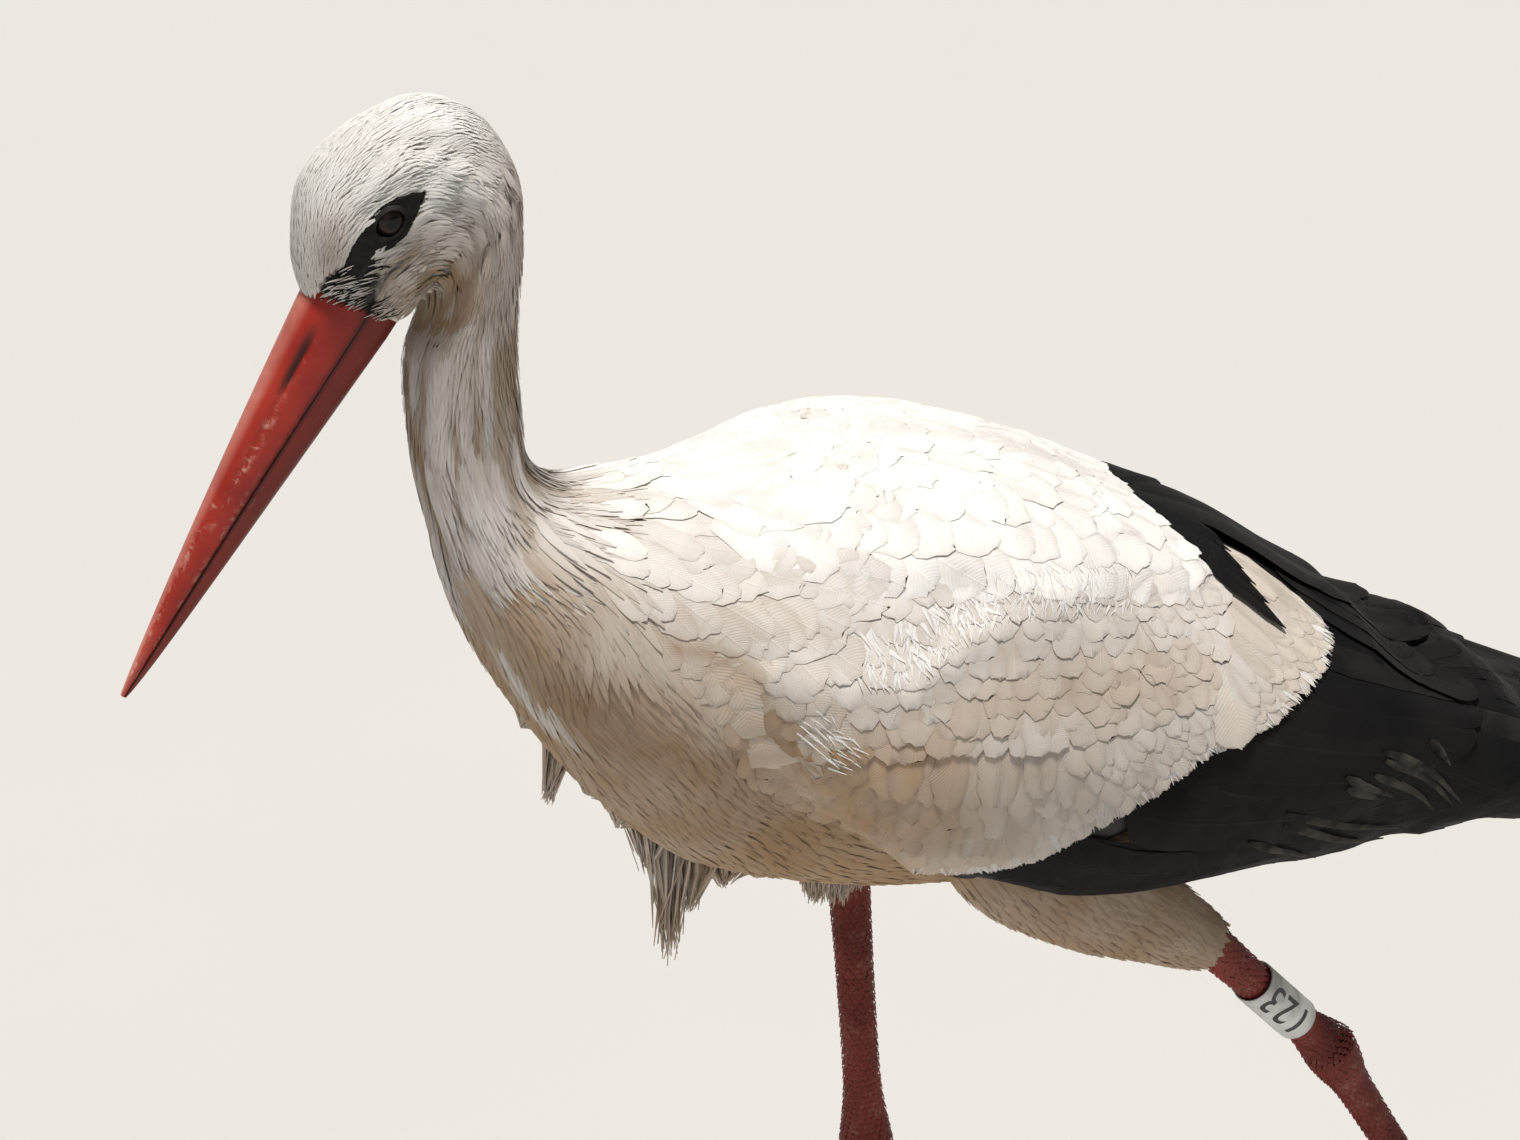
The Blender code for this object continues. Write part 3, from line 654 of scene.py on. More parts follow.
# --------------------------------------------------------------------------- materials
BARB_SLANT = 0.35  # how far the barbs lean towards the feather's tip


class Paint:
    """A node material in the making."""

    def __init__(self, name, **sockets):
        self.material = bpy.data.materials.new(name)
        self.material.use_nodes = True
        self.tree = self.material.node_tree
        self.shader = self.tree.nodes["Principled BSDF"]
        self.put(self.shader, sockets)

    def plug(self, socket, value):
        """Links another node's output to an input, or sets a plain value."""
        if isinstance(value, bpy.types.NodeSocket):
            self.tree.links.new(value, socket)
        else:
            socket.default_value = value

    def put(self, node, sockets):
        for label, value in sockets.items():
            self.plug(node.inputs[label.replace("_", " ")], value)

    def add(self, kind, output=0, sockets=None, **settings):
        node = self.tree.nodes.new("ShaderNode" + kind)
        for label, value in settings.items():
            setattr(node, label, value)
        self.put(node, sockets or {})
        return node.outputs[output]

    def places(self):
        return self.add("TexCoord", "Object")

    def noise(self, scale, detail=3.0, roughness=0.55, distortion=0.0):
        return self.add("TexNoise", "Fac", {
            "Vector": self.places(), "Scale": scale, "Detail": detail,
            "Roughness": roughness, "Distortion": distortion,
        })

    def math(self, how, one, two=0.0):
        node = self.tree.nodes.new("ShaderNodeMath")
        node.operation = how
        self.plug(node.inputs[0], one)
        self.plug(node.inputs[1], two)
        return node.outputs[0]

    def span(self, value, low, high, to_low=0.0, to_high=1.0):
        return self.add("MapRange", 0, {
            "Value": value, "From_Min": low, "From_Max": high, "To_Min": to_low,
            "To_Max": to_high,
        })

    def mix(self, share, one, two, how="MIX"):
        return self.add(
            "MixRGB", 0, {"Fac": share, "Color1": one, "Color2": two}, blend_type=how)

    def fact(self, label):
        return self.add("Attribute", "Fac", attribute_name=label)

    def bump(self, height, distance, strength):
        normal = self.add("Bump", 0, {
            "Height": height, "Distance": distance, "Strength": strength})
        self.put(self.shader, {"Normal": normal})

    def barbs(self, count):
        """Fine lines that run out from a feather's shaft, and the shaft itself."""
        grid = self.add("UVMap", 0, uv_map="Vane")
        split = self.tree.nodes.new("ShaderNodeSeparateXYZ")
        self.tree.links.new(grid, split.inputs[0])
        out = self.math("ABSOLUTE", self.math("SUBTRACT", split.outputs[0], 0.5))
        place_down = self.math(
            "SUBTRACT", split.outputs[1], self.math("MULTIPLY", out, BARB_SLANT))
        lines = self.math("PINGPONG", self.math("MULTIPLY", place_down, count), 0.5)
        shaft = self.span(out, 0.0, 0.03, 1.0, 0.0)
        return self.math("ADD", lines, self.math("MULTIPLY", shaft, 0.8))


def colour(red, green, blue):
    return (red, green, blue, 1.0)


def white_plumage():
    paint = Paint("white_plumage", Roughness=0.85, Specular_IOR_Level=0.2,
                  Subsurface_Weight=0.25,
                  Subsurface_Radius=(1.0, 0.8, 0.6), Subsurface_Scale=0.0025)
    # tone and stain hold each feather's own shade of white and its tan stain, and also painted
    # shade and painted light, set where the feathers are made
    tone = paint.math("ADD", paint.fact("tone"), paint.math(
        "MULTIPLY", paint.math("SUBTRACT", paint.noise(55.0), 0.5), 0.5))
    pale = paint.mix(paint.span(tone, 0.0, 1.0), colour(0.40, 0.345, 0.28),
                     colour(0.95, 0.93, 0.89))
    tan = paint.mix(paint.noise(24.0), colour(0.33, 0.205, 0.11), colour(0.50, 0.335, 0.20))
    stain = paint.math("MULTIPLY", paint.fact("stain"), paint.span(
        paint.noise(30.0), 0.3, 0.65, 0.7, 1.0))
    lines = paint.barbs(26.0)
    shaded = paint.mix(paint.span(lines, 0.0, 0.5, 0.10, 0.0), paint.mix(stain, pale, tan),
                       colour(0.55, 0.47, 0.38), "MULTIPLY")
    paint.put(paint.shader, {"Base_Color": shaded})
    paint.bump(lines, 0.0002, 0.6)
    return paint.material


def black_plumage():
    paint = Paint("black_plumage", Specular_IOR_Level=0.07)
    lines = paint.barbs(60.0)
    streaks = paint.noise(70.0, 5.0, distortion=0.6)
    deep = paint.mix(paint.span(paint.noise(16.0), 0.35, 0.65), colour(0.005, 0.0055, 0.0065),
                     colour(0.012, 0.011, 0.011))
    worn = paint.mix(streaks, colour(0.05, 0.042, 0.036), colour(0.17, 0.15, 0.13))
    share = paint.math("MULTIPLY", paint.fact("stain"), paint.span(streaks, 0.35, 0.6))
    base = paint.mix(share, deep, worn)
    base = paint.mix(paint.span(lines, 0.0, 0.5, 0.35, 0.0), base, colour(0.2, 0.2, 0.2),
                     "MULTIPLY")
    paint.put(paint.shader, {
        "Base_Color": base, "Roughness": paint.span(streaks, 0.3, 0.7, 0.48, 0.68)})
    paint.bump(lines, 0.0003, 0.6)
    return paint.material


def skin_paint():
    """The skin: pale or black under the feathers, with painted shade in the face's folds, and red
    where it is bare.
    """
    paint = Paint("skin", Roughness=0.62)
    white = paint.mix(paint.noise(40.0), colour(0.60, 0.54, 0.46), colour(0.80, 0.76, 0.69))
    black = paint.mix(paint.noise(40.0), colour(0.006, 0.006, 0.008), colour(0.015, 0.013, 0.013))
    base = paint.mix(paint.fact("dark"), white, black)
    base = paint.mix(paint.fact("bare"), base, leg_colour(paint))
    paint.put(paint.shader, {"Base_Color": base})
    paint.bump(paint.noise(900.0, 4.0), 0.0003, 0.6)
    return paint.material


def leg_colour(paint):
    cells = paint.add("TexVoronoi", "Distance", {"Vector": paint.places(), "Scale": 420.0})
    red = paint.mix(paint.span(paint.noise(38.0), 0.35, 0.65), colour(0.13, 0.015, 0.011),
                    colour(0.24, 0.038, 0.028))
    dust = paint.math("MULTIPLY", paint.span(cells, 0.40, 0.75), paint.span(
        paint.noise(120.0), 0.50, 0.80, 0.0, 0.7))
    return paint.mix(dust, red, colour(0.38, 0.20, 0.16))


def scale_paint():
    paint = Paint("leg_scales", Roughness=0.55, Specular_IOR_Level=0.25)
    paint.put(paint.shader, {"Base_Color": leg_colour(paint)})
    paint.bump(paint.noise(1300.0, 4.0), 0.00025, 0.7)
    return paint.material


def bill_paint():
    """Horn: red, paler and flaked along the mouth and towards the tip, with a painted highlight
    along the ridge and painted shade along the mouth, in the nostril and under the lower half.
    """
    paint = Paint("bill_horn", Specular_IOR_Level=0.30)
    blotch = paint.noise(45.0, 5.0, distortion=0.4)
    red = paint.mix(paint.span(blotch, 0.3, 0.7), colour(0.25, 0.014, 0.009),
                    colour(0.38, 0.030, 0.017))
    pale = paint.mix(paint.noise(160.0, 5.0), colour(0.46, 0.15, 0.11), colour(0.68, 0.38, 0.31))
    flakes = paint.span(paint.noise(230.0, 6.0, roughness=0.72, distortion=0.8), 0.50, 0.62)
    worn = paint.math("MULTIPLY", paint.fact("worn"), paint.span(blotch, 0.25, 0.6, 0.5, 1.0))
    worn = paint.math("MINIMUM", paint.math("ADD", worn, paint.math(
        "MULTIPLY", paint.fact("flaky"), flakes)), 1.0)
    # pale where worn and flaky, and as a painted highlight along the ridge
    base = paint.mix(worn, red, pale)
    # painted shade where dark is high
    base = paint.mix(paint.fact("dark"), base, colour(0.035, 0.006, 0.005))
    paint.put(paint.shader, {
        "Base_Color": base, "Roughness": paint.span(blotch, 0.3, 0.7, 0.38, 0.52)})
    relief = paint.math("ADD", paint.noise(500.0, 5.0), paint.math(
        "MULTIPLY", flakes, paint.fact("flaky")))
    paint.bump(relief, 0.0003, 0.5)
    return paint.material


def face_paint():
    paint = Paint("face_skin", Roughness=0.6, Specular_IOR_Level=0.18)
    base = paint.mix(paint.span(paint.noise(300.0), 0.35, 0.65), colour(0.004, 0.0035, 0.004),
                     colour(0.013, 0.011, 0.011))
    paint.put(paint.shader, {"Base_Color": base})
    paint.bump(paint.noise(1200.0, 5.0), 0.0004, 0.8)
    return paint.material


def eye_paint():
    """A brown iris round a black pupil; ring is 0 at the pupil's middle."""
    paint = Paint("eye", Roughness=0.07, Specular_IOR_Level=0.22)
    ring = paint.fact("ring")
    iris = paint.mix(paint.noise(700.0, 4.0), colour(0.010, 0.006, 0.005),
                     colour(0.028, 0.016, 0.011))
    base = paint.mix(paint.span(ring, 0.30, 0.36), colour(0.003, 0.003, 0.003), iris)
    base = paint.mix(paint.span(ring, 0.62, 0.70), base, colour(0.010, 0.008, 0.007))
    paint.put(paint.shader, {"Base_Color": base})
    paint.bump(paint.noise(300.0), 0.00002, 0.2)
    return paint.material


def claw_paint():
    paint = Paint("claw_horn", Coat_Weight=0.15, Coat_Roughness=0.3)
    base = paint.mix(paint.noise(150.0), colour(0.05, 0.035, 0.03), colour(0.16, 0.11, 0.09))
    paint.put(paint.shader, {"Base_Color": base, "Roughness": paint.span(
        paint.noise(200.0), 0.3, 0.7, 0.35, 0.55)})
    paint.bump(paint.noise(900.0), 0.0002, 0.5)
    return paint.material


def ring_paint():
    paint = Paint("ring_plastic", Specular_IOR_Level=0.45)
    grime = paint.span(paint.noise(90.0, 6.0, roughness=0.65), 0.45, 0.72)
    base = paint.mix(grime, colour(0.78, 0.78, 0.77), colour(0.42, 0.40, 0.37))
    paint.put(paint.shader, {"Base_Color": base, "Roughness": paint.span(
        grime, 0.0, 1.0, 0.38, 0.7)})
    paint.bump(paint.noise(600.0, 4.0), 0.0001, 0.5)
    return paint.material


def digit_paint():
    paint = Paint("ring_digits", Roughness=0.5)
    base = paint.mix(paint.noise(400.0, 4.0), colour(0.012, 0.012, 0.013),
                     colour(0.06, 0.06, 0.06))
    paint.put(paint.shader, {"Base_Color": base})
    paint.bump(paint.noise(700.0), 0.00005, 0.4)
    return paint.material


def floor_paint():
    paint = Paint("floor", Roughness=0.85)
    base = paint.mix(paint.noise(3.0, 3.0), colour(0.48, 0.475, 0.46), colour(0.50, 0.495, 0.48))
    paint.put(paint.shader, {"Base_Color": base})
    return paint.material


# looks: each a material and the slot that it belongs to
WHITE = white_plumage(), "plumage_white"
BLACK = black_plumage(), "plumage_black"
HORN = bill_paint(), "bill_red"
FACE = face_paint(), "plumage_black"
SCALES = scale_paint(), "leg_red"

# ----------------------------------------------------------------- where markings change
# angle from the back, and where along the body the black begins
BLACK_LINE = (
    (0, 19.05), (12, 19.4), (20, 20.1), (32, 20.7), (38, 20.3), (50, 20.62), (64, 20.2),
    (77, 19.8), (80, 19.27), (89, 19.0), (94, 18.6), (101, 18.25), (108, 18.02), (116, 17.73),
    (128, 17.6), (134, 17.6),
)
# the black almond round the eye and the thin fringe below it, as (along, angle) corners
ALMOND = (
    (1.20, 72), (1.32, 67.5), (1.57, 69), (2.07, 70), (2.40, 68.5), (2.72, 66.5), (3.05, 66),
    (3.40, 68.5), (3.76, 70), (3.66, 76), (3.47, 82), (3.15, 89.5), (2.72, 90), (2.40, 85.5),
    (2.05, 85), (1.65, 84), (1.18, 80),
)
FRINGE = (
    (0.30, 40), (0.80, 52), (1.30, 64), (1.20, 79), (1.70, 82), (2.10, 86), (2.15, 97),
    (1.40, 104), (0.95, 122), (0.50, 122),
)
EYE_PLACE = (2.90, 77.0)
# the folds that run back from the corner of the mouth and along the throat
FACE_FOLDS = (
    ((1.15, 101), (1.55, 102), (2.02, 102), (2.45, 102.5), (2.95, 103)),
    ((3.48, 136), (4.08, 136), (4.67, 133), (5.15, 130)),
)
# the fold where the cape's feathers end on the front of the wing
WING_FOLDS = (((14.3, 82), (14.62, 80), (14.9, 79), (15.1, 81), (15.3, 88), (15.4, 96)),)
# where the feathers of the face begin, as (angle, along)
FACE_EDGE = ((0, 0.07), (48, 0.38), (77, 0.58), (100, 0.65), (124, 0.66), (142, 1.02), (180, 1.1))


def inside(places, corners):
    """Whether places lie inside an outline on either side of the body."""
    along, angle = places[..., 0], np.abs(places[..., 1])
    found = np.zeros(along.shape, bool)
    for (a1, d1), (a2, d2) in zip(corners, corners[1:] + corners[:1]):
        crosses = (d1 > angle) != (d2 > angle)
        found ^= crosses & (along < (a2 - a1) * (angle - d1) / ((d2 - d1) or 1e-9) + a1)
    return found


def fold_distance(points, folds, surface):
    """How many millimetres points are from folds, which are lines of places on a surface."""
    spots = []
    for fold in folds:
        corners = np.array(fold, float)
        fine = np.linspace(0, len(fold) - 1, 40)
        spots.append(np.stack(
            [np.interp(fine, np.arange(len(fold)), corners[:, k]) for k in (0, 1)], -1))
    spots = mirrored(np.concatenate(spots))
    tree = tree_of(surface(spots[:, 0], spots[:, 1]))
    flat = points.reshape(-1, 3)
    return np.array([tree.find(p)[2] for p in flat]).reshape(points.shape[:-1]) / MM


def face_edge(angle):
    edge = np.array(FACE_EDGE)
    return np.interp(np.abs(angle), edge[:, 0], edge[:, 1])


def black_from(angle):
    line = np.array(BLACK_LINE, float)
    return np.interp(np.abs(angle), line[:, 0], line[:, 1])


# -------------------------------------------------------------------------------- skin
FEATHERED = (
    "head", "neck_upper", "neck_lower", "trunk", "wing_left", "wing_right",
    "thigh_left", "thigh_right",
)
BARE = tuple(
    f"{part}_{side}" for side, _ in SIDES for part in ("shank", "tarsus")
) + tuple(f"toe_{side}_{toe[0]}" for side, _ in SIDES for toe in TOES)
SKIN_VOXEL = 0.0019
NODES_GROW = 0.0007
BARE_BLEND = 0.002  # metres over which feathered skin turns into bare skin
# metres above the floor; only the head and the top of the neck are higher than either
HEAD_HEIGHT = 0.64
FACE_HEIGHT = 0.62
# millimetres that the skin sinks below the joined nodes
COAT_DEPTH_HEAD = 1.3
COAT_DEPTH_BODY = 3.0
BARE_DEPTH = 0.25
SHELL_DEPTH = 0.6  # everywhere, because the nodes grow before they are joined


def tube_mesh(rows, sides):
    """Points and faces of a closed tube round (point, half width, half depth) rows."""
    surface = Tube(rows)
    along, angle = np.meshgrid(np.arange(len(rows)), np.arange(sides) * 360 / sides,
                               indexing="ij")
    points = surface(along, angle).reshape(-1, 3)
    index = np.arange(len(rows) * sides).reshape(len(rows), sides)
    after = np.roll(index, -1, 1)
    sheet = np.stack((index[:-1], index[1:], after[1:], after[:-1]), -1).reshape(-1, 4)
    return points, [sheet, index[:1], index[-1:, ::-1]]


def foot_tubes(side, sign, foot):
    """The tubes that join the end of a leg to its toes."""
    found = []
    for toe in TOES:
        (start, wide, deep), (second, _, _) = toe_path(side, sign, foot, *toe)[:2]
        onward = (second - start).normalized()
        found.append([
            (foot, 6.4 * MM, 6.2 * MM),
            (foot.lerp(start, 0.6), 5.8 * MM, 5.4 * MM),
            (start + onward * 3 * MM, wide, deep),
        ])
    return found


def node_mesh(names, grow, tubes=()):
    """Tubes and CAD nodes as one bmesh, the nodes grown so that they run into each other."""
    joined = bmesh.new()
    for rows in tubes:
        points, faces = tube_mesh(rows, 16)
        holder = bpy.data.meshes.new("part")
        holder.from_pydata(points.tolist(), [], [face for some in faces for face in some.tolist()])
        joined.from_mesh(holder)
        bpy.data.meshes.remove(holder)
    for name in names:
        part = bmesh.new()
        part.from_mesh(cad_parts[name].data)
        bmesh.ops.remove_doubles(part, verts=part.verts, dist=1e-6)
        part.normal_update()
        for vert in part.verts:
            vert.co += vert.normal * grow
        holder = bpy.data.meshes.new("part")
        part.to_mesh(holder)
        part.free()
        joined.from_mesh(holder)
        bpy.data.meshes.remove(holder)
    return joined


def smooth_shell(source):
    """One smooth closed mesh over a bmesh whose parts run into each other."""
    mesh = bpy.data.meshes.new("skin_source")
    source.to_mesh(mesh)
    source.free()
    obj = bpy.data.objects.new("skin_source", mesh)
    bpy.context.scene.collection.objects.link(obj)
    remesh = obj.modifiers.new("remesh", "REMESH")
    remesh.mode = "VOXEL"
    remesh.voxel_size = SKIN_VOXEL
    smooth = obj.modifiers.new("smooth", "SMOOTH")
    smooth.factor = 0.5
    smooth.iterations = 3
    shaped = obj.evaluated_get(bpy.context.evaluated_depsgraph_get())
    shell = bpy.data.meshes.new_from_object(shaped)
    bpy.data.objects.remove(obj)
    return shell


def vectors(data, label):
    """One vector for each vertex of a mesh, as rows."""
    values = np.zeros(len(data) * 3, np.float32)
    data.foreach_get(label, values)
    return values.reshape(-1, 3)


def nearest_places(points):
    """The places on the body and wings that points are nearest to."""
    grid = np.stack(np.meshgrid(np.arange(0, LAST + 0.01, 0.15), np.arange(-180, 180, 3.0),
                                indexing="ij"), -1).reshape(-1, 2)
    tree = tree_of(cape(grid[:, 0], grid[:, 1]))
    return grid[[tree.find(point)[1] for point in points]]


def skin_markings(points, nearest):
    """How black the skin is: under black feathers and round the eyes, and as painted shade in the
    face's folds.
    """
    on_wing = (nearest[:, 0] > black_from(nearest[:, 1])) & (np.abs(nearest[:, 1]) < WING_LOW)
    on_head = points[:, 2] > HEAD_HEIGHT
    on_face = (inside(nearest, ALMOND) | inside(nearest, FRINGE)) & on_head
    # painted shade: the skin turns dark along the face's folds
    folded = np.zeros(len(points))
    folded[on_head] = np.clip(
        1.6 - fold_distance(points[on_head], FACE_FOLDS, loft) / 1.6, 0, 1)
    return np.maximum(on_wing | on_face, 0.85 * folded)


def coat_depth(points, nearest):
    """How many millimetres of feathers lie over the skin."""
    head = ramp(9.0, nearest[:, 0], 2.0)
    throat = hump(nearest[:, 0], 5.9, 0.9) * (np.abs(nearest[:, 1]) > 110)
    front = ramp(1.1, nearest[:, 0], 0.3) * (points[:, 2] > FACE_HEIGHT)
    depth = COAT_DEPTH_BODY + (COAT_DEPTH_HEAD - COAT_DEPTH_BODY) * head
    return depth + 2.0 * throat + 2.6 * front


def make_skin():
    tubes = [
        rows for (side, sign), leg in zip(SIDES, (LEFT_LEG, RIGHT_LEG))
        for rows in foot_tubes(side, sign, place(leg[-1][0], sign * leg[-1][1], leg[-1][2]))
    ]
    skin = smooth_shell(node_mesh(FEATHERED + BARE, NODES_GROW, tubes))
    points = vectors(skin.vertices, "co").astype(float)
    normals = vectors(skin.vertex_normals, "vector")
    trees = [BVHTree.FromBMesh(mesh)
             for mesh in (node_mesh(FEATHERED, 0.0), node_mesh(BARE, 0.0, tubes))]
    far = np.array([[tree.find_nearest(Vector(point))[3] for tree in trees]
                    for point in points])
    bare = ramp(far[:, 0], far[:, 1], BARE_BLEND)
    nearest = nearest_places(points)
    dark = skin_markings(points, nearest) * (1 - bare)
    depth = coat_depth(points, nearest) * (1 - bare) + BARE_DEPTH * bare + SHELL_DEPTH
    points -= normals * (depth * MM)[:, None]
    outward = cape(nearest[:, 0], nearest[:, 1], 1.0) - cape(nearest[:, 0], nearest[:, 1])
    points -= outward * (sink(nearest[:, 0], nearest[:, 1]) * (1 - bare))[:, None]
    skin.vertices.foreach_set("co", points.astype(np.float32).ravel())
    for label, values in (("dark", dark), ("bare", bare)):
        skin.attributes.new(label, "FLOAT", "POINT").data.foreach_set(
            "value", values.astype(np.float32))
    obj = add_piece("skin", skin, (skin_paint(), "plumage_white"), 180)
    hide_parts(*FEATHERED, *BARE)


make_skin()

# --------------------------------------------------------------------- head and neck
HAIR = Vane(lance_outline, 3, 2, root=-0.6, tip=0.12, camber=0.10, tilt=0.03, ragged=0.05,
            bunch=1.2)
LOCK = Vane(lance_outline, 4, 2, root=-0.9, tip=0.20, camber=0.14, tilt=0.05, ragged=0.05,
            bunch=1.2, lift=1.2)
PLUME = Vane(lance_outline, 5, 2, root=-1.2, tip=0.25, camber=0.20, tilt=0.07, ragged=0.06,
             bunch=1.3, lift=1.2)
SOFT = Vane(round_outline, 8, 6, root=-1.4, tip=0.0, camber=0.10, tilt=0.05, ragged=0.09,
            bunch=1.6)


def wave(places, scale, seed, stretch=1.0):
    """Noise from -1 to 1 over the body, for clumps about scale millimetres wide."""
    span = 22.0 / scale / stretch
    turn = places[:, 1] / 180 * 70.0 / scale
    return noise(places[:, 0] * span, turn + 100, seed) * 2 - 1


def coat_head():
    places = scatter(loft, (0.0, 7.1), (-180, 180), 1.4, 1.45, 11)
    places = places[places[:, 0] > face_edge(places[:, 1]) - 0.06]
    ahead = places + (0.13, 0)
    places = places[~(inside(places, ALMOND) | inside(ahead, ALMOND))]
    rng = np.random.default_rng(12)
    fringe = inside(places, FRINGE)
    black = fringe & (rng.uniform(0, 1, len(places)) < 0.55)
    along, angle = places[:, 0], np.abs(places[:, 1])
    size = np.clip(along / 5, 0, 1)
    back = np.clip((along - 1.6) / 1.8, 0.0, 1) * np.clip((angle - 12) / 40, 0.25, 1)
    back = back * ramp(6.9, along, 0.9)
    length = 4.8 + 2.2 * size + rng.normal(0, 0.3, len(places)) + 1.0 * fringe
    width = np.where(fringe, 0.75, 1.6 + 0.5 * size)
    ridge = wave(places, 4.0, 15, 2.6)
    heading = 4 * wave(places, 7, 13) + 30 * back * wave(places, 6, 16)
    heading = heading + fringe * rng.normal(48, 9, len(places))
    lift = 2.0 * back * ridge + 0.3 * fringe
    lift = lift - 2.0 * ramp(face_edge(angle) + 0.35, along, 0.35)
    grids = lay(loft, places, heading, length, width, HAIR, 14, extra=lift)
    fold = fold_distance(grids[:, :, 1], FACE_FOLDS, loft).min(1)
    # painted shade: feathers near the face's folds are darker and tinted tan
    shade = np.exp(-(fold / 2.6) ** 2)
    # painted shade: behind the eye the valleys between clumps are darker and their crests lighter
    tone = 0.97 + 0.30 * back * ridge + rng.normal(0, 0.03, len(places)) - 0.9 * shade
    # painted shade with a tan tint: under the head, and on the nape
    below = ramp(angle, 78, 50) * 0.75
    nape = ramp(along, 4.4, 1.6) * 0.45
    lore = np.exp(-((along - 1.2) / 0.7) ** 2 - ((angle - 55) / 16) ** 2)
    stain = np.clip(0.9 * below + nape + 0.6 * lore + 0.3 * shade, 0, 1)
    tone -= 0.25 * below
    white, black = ~black & (fold > 1.1), black & (fold > 1.1)
    join("coat_head", grids[white], home(places[white]), tone[white], stain[white], WHITE)
    join("coat_lore", grids[black], home(places[black]), 0.5, 0.0, BLACK)


def coat_neck():
    places = scatter(loft, (6.2, 12.4), (-180, 180), 2.6, 2.2, 21)
    rng = np.random.default_rng(22)
    size = ramp(places[:, 0], 6.2, 5.4)
    length = 7 + 17 * size + rng.normal(0, 1.0, len(places))
    width = 2.2 + 1.8 * size
    heading = 12 * size * wave(places, 11, 23)
    locks = wave(places, 4.5, 24, 5.0)
    near_cape = ramp(places[:, 0], 10.2, 1.8)
    lift = (0.4 + 1.3 * size * (1 - 0.8 * near_cape)) * locks - 0.6 * near_cape
    grids = lay(loft, places, heading, length, width, LOCK, 25, extra=lift)
    clear = np.clip(places[:, 0] - 7, 0, 1) * (1 - 0.85 * near_cape)
    # painted shade: the neck is darker and tan, as in the head's shadow, and the valleys between
    # locks are darker and tan, their crests lighter
    tone = 0.58 + 0.16 * near_cape + 0.50 * locks * clear + rng.normal(0, 0.04, len(places))
    stain = 0.30 + 0.2 * np.clip(7.6 - places[:, 0], 0, 1)
    stain = stain + 0.55 * np.clip(-1.4 * locks, 0, 1) * clear
    join("coat_neck", grids, home(places), tone, stain, WHITE)


FOLD_SHADE = 0.35  # how much darker the painted shade makes feathers in the wing's front fold
# how much tan the painted shade in that fold adds
FOLD_SHADE_TINT = 0.25


def fold_shade(grids):
    """How deep in the wing's front fold the points of feathers are, from 0 to 1, which sets the
    painted shade there.
    """
    distance = fold_distance(grids, WING_FOLDS, cape)
    return np.exp(-(distance / 3.2) ** 2).reshape(len(grids), -1)


def stain_and_shade_down_side(places, first, last, most):
    """Tan that grows down the side, from nothing at one angle to most at another: partly stain,
    partly painted shade.
    """
    return most * ramp(np.abs(places[:, 1]), first, last - first)


def coat_front():
    """The breast's long plumes and the soft cape over the front of the wings."""
    def cape_end(angle):
        return np.interp(np.abs(angle), (0, 34, 59, 84, 104, 120, 180),
                         (15.75, 15.75, 15.65, 15.7, 15.65, 15.7, 15.6))

    def fanned(places):
        """How far the plumes turn down the side of the breast."""
        angle = np.abs(places[:, 1])
        side = np.sign(places[:, 1] + 1e-9)
        reach = ramp(places[:, 0], 11.4, 1.2) * np.clip(16.2 - places[:, 0], 0, 1)
        return 30 * side * reach * hump(angle, 78, 38)

    def laid(name, places, length, width, vane, loose, rise, most, seed):
        rng = np.random.default_rng(seed)
        length = length + rng.normal(0, 1.5, len(places))
        tips = walk(cape, places, np.abs(fanned(places)), length)
        kept = tips[:, 0] < cape_end(tips[:, 1]) + 0.35
        places, length, width = places[kept], length[kept], width[kept]
        locks = wave(places, 7, seed + 1, 3.0)
        heading = loose * wave(places, 18, seed + 2) + fanned(places)
        # painted light: a lit patch of lifted plumes low on the breast is whiter and less tan
        pale = np.exp(-((np.abs(places[:, 1]) - 144) / 6) ** 2
                      - ((places[:, 0] - 13) / 0.7) ** 4)
        grids = lay(cape, places, heading, length, width, vane, seed + 3,
                    extra=0.25 + rise * locks + 1.0 * pale)
        # partly stain, partly painted shade: darker and tan down the side; painted shade between
        # the locks: darker valleys, lighter crests
        soil_and_shade = stain_and_shade_down_side(places, 40, 110, 1.0)
        tone = 0.74 - 0.28 * soil_and_shade + 0.24 * locks + rng.normal(0, 0.04, len(places))
        tone += 0.5 * pale
        stain = 0.10 + np.minimum(0.9 * soil_and_shade, most) - 0.7 * pale
        # painted shade in the wing's front fold
        fold = fold_shade(grids)
        join(name, grids, home(places), tone[:, None] - FOLD_SHADE * fold,
             stain[:, None] + FOLD_SHADE_TINT * fold, WHITE)

    def is_soft(places):
        along, angle = places[:, 0], np.abs(places[:, 1])
        return angle < np.interp(along, (12.6, 13.2, 14.2, 15.0), (20, 50, 84, 92))

    places = scatter(cape, (11.6, 15.5), (-180, 180), 4.6, 3.8, 31)
    places = places[~is_soft(places + (0.45, 0))]
    size = ramp(places[:, 0], 11.2, 3.5)
    laid("coat_front", places, 22 + 9 * size, 5 + 4 * size, PLUME, 16, 0.7, 0.88, 32)
    places = scatter(cape, (12.0, 15.6), (-104, 104), 7.5, 8.5, 36, jitter=0.5)
    places = places[is_soft(places + (0.7, 0))]
    size = ramp(places[:, 0], 12.6, 2.0)
    laid("coat_cape", places, 28 + 8 * size, 10 + 9 * size, SOFT, 12, 0.3, 0.52, 37)


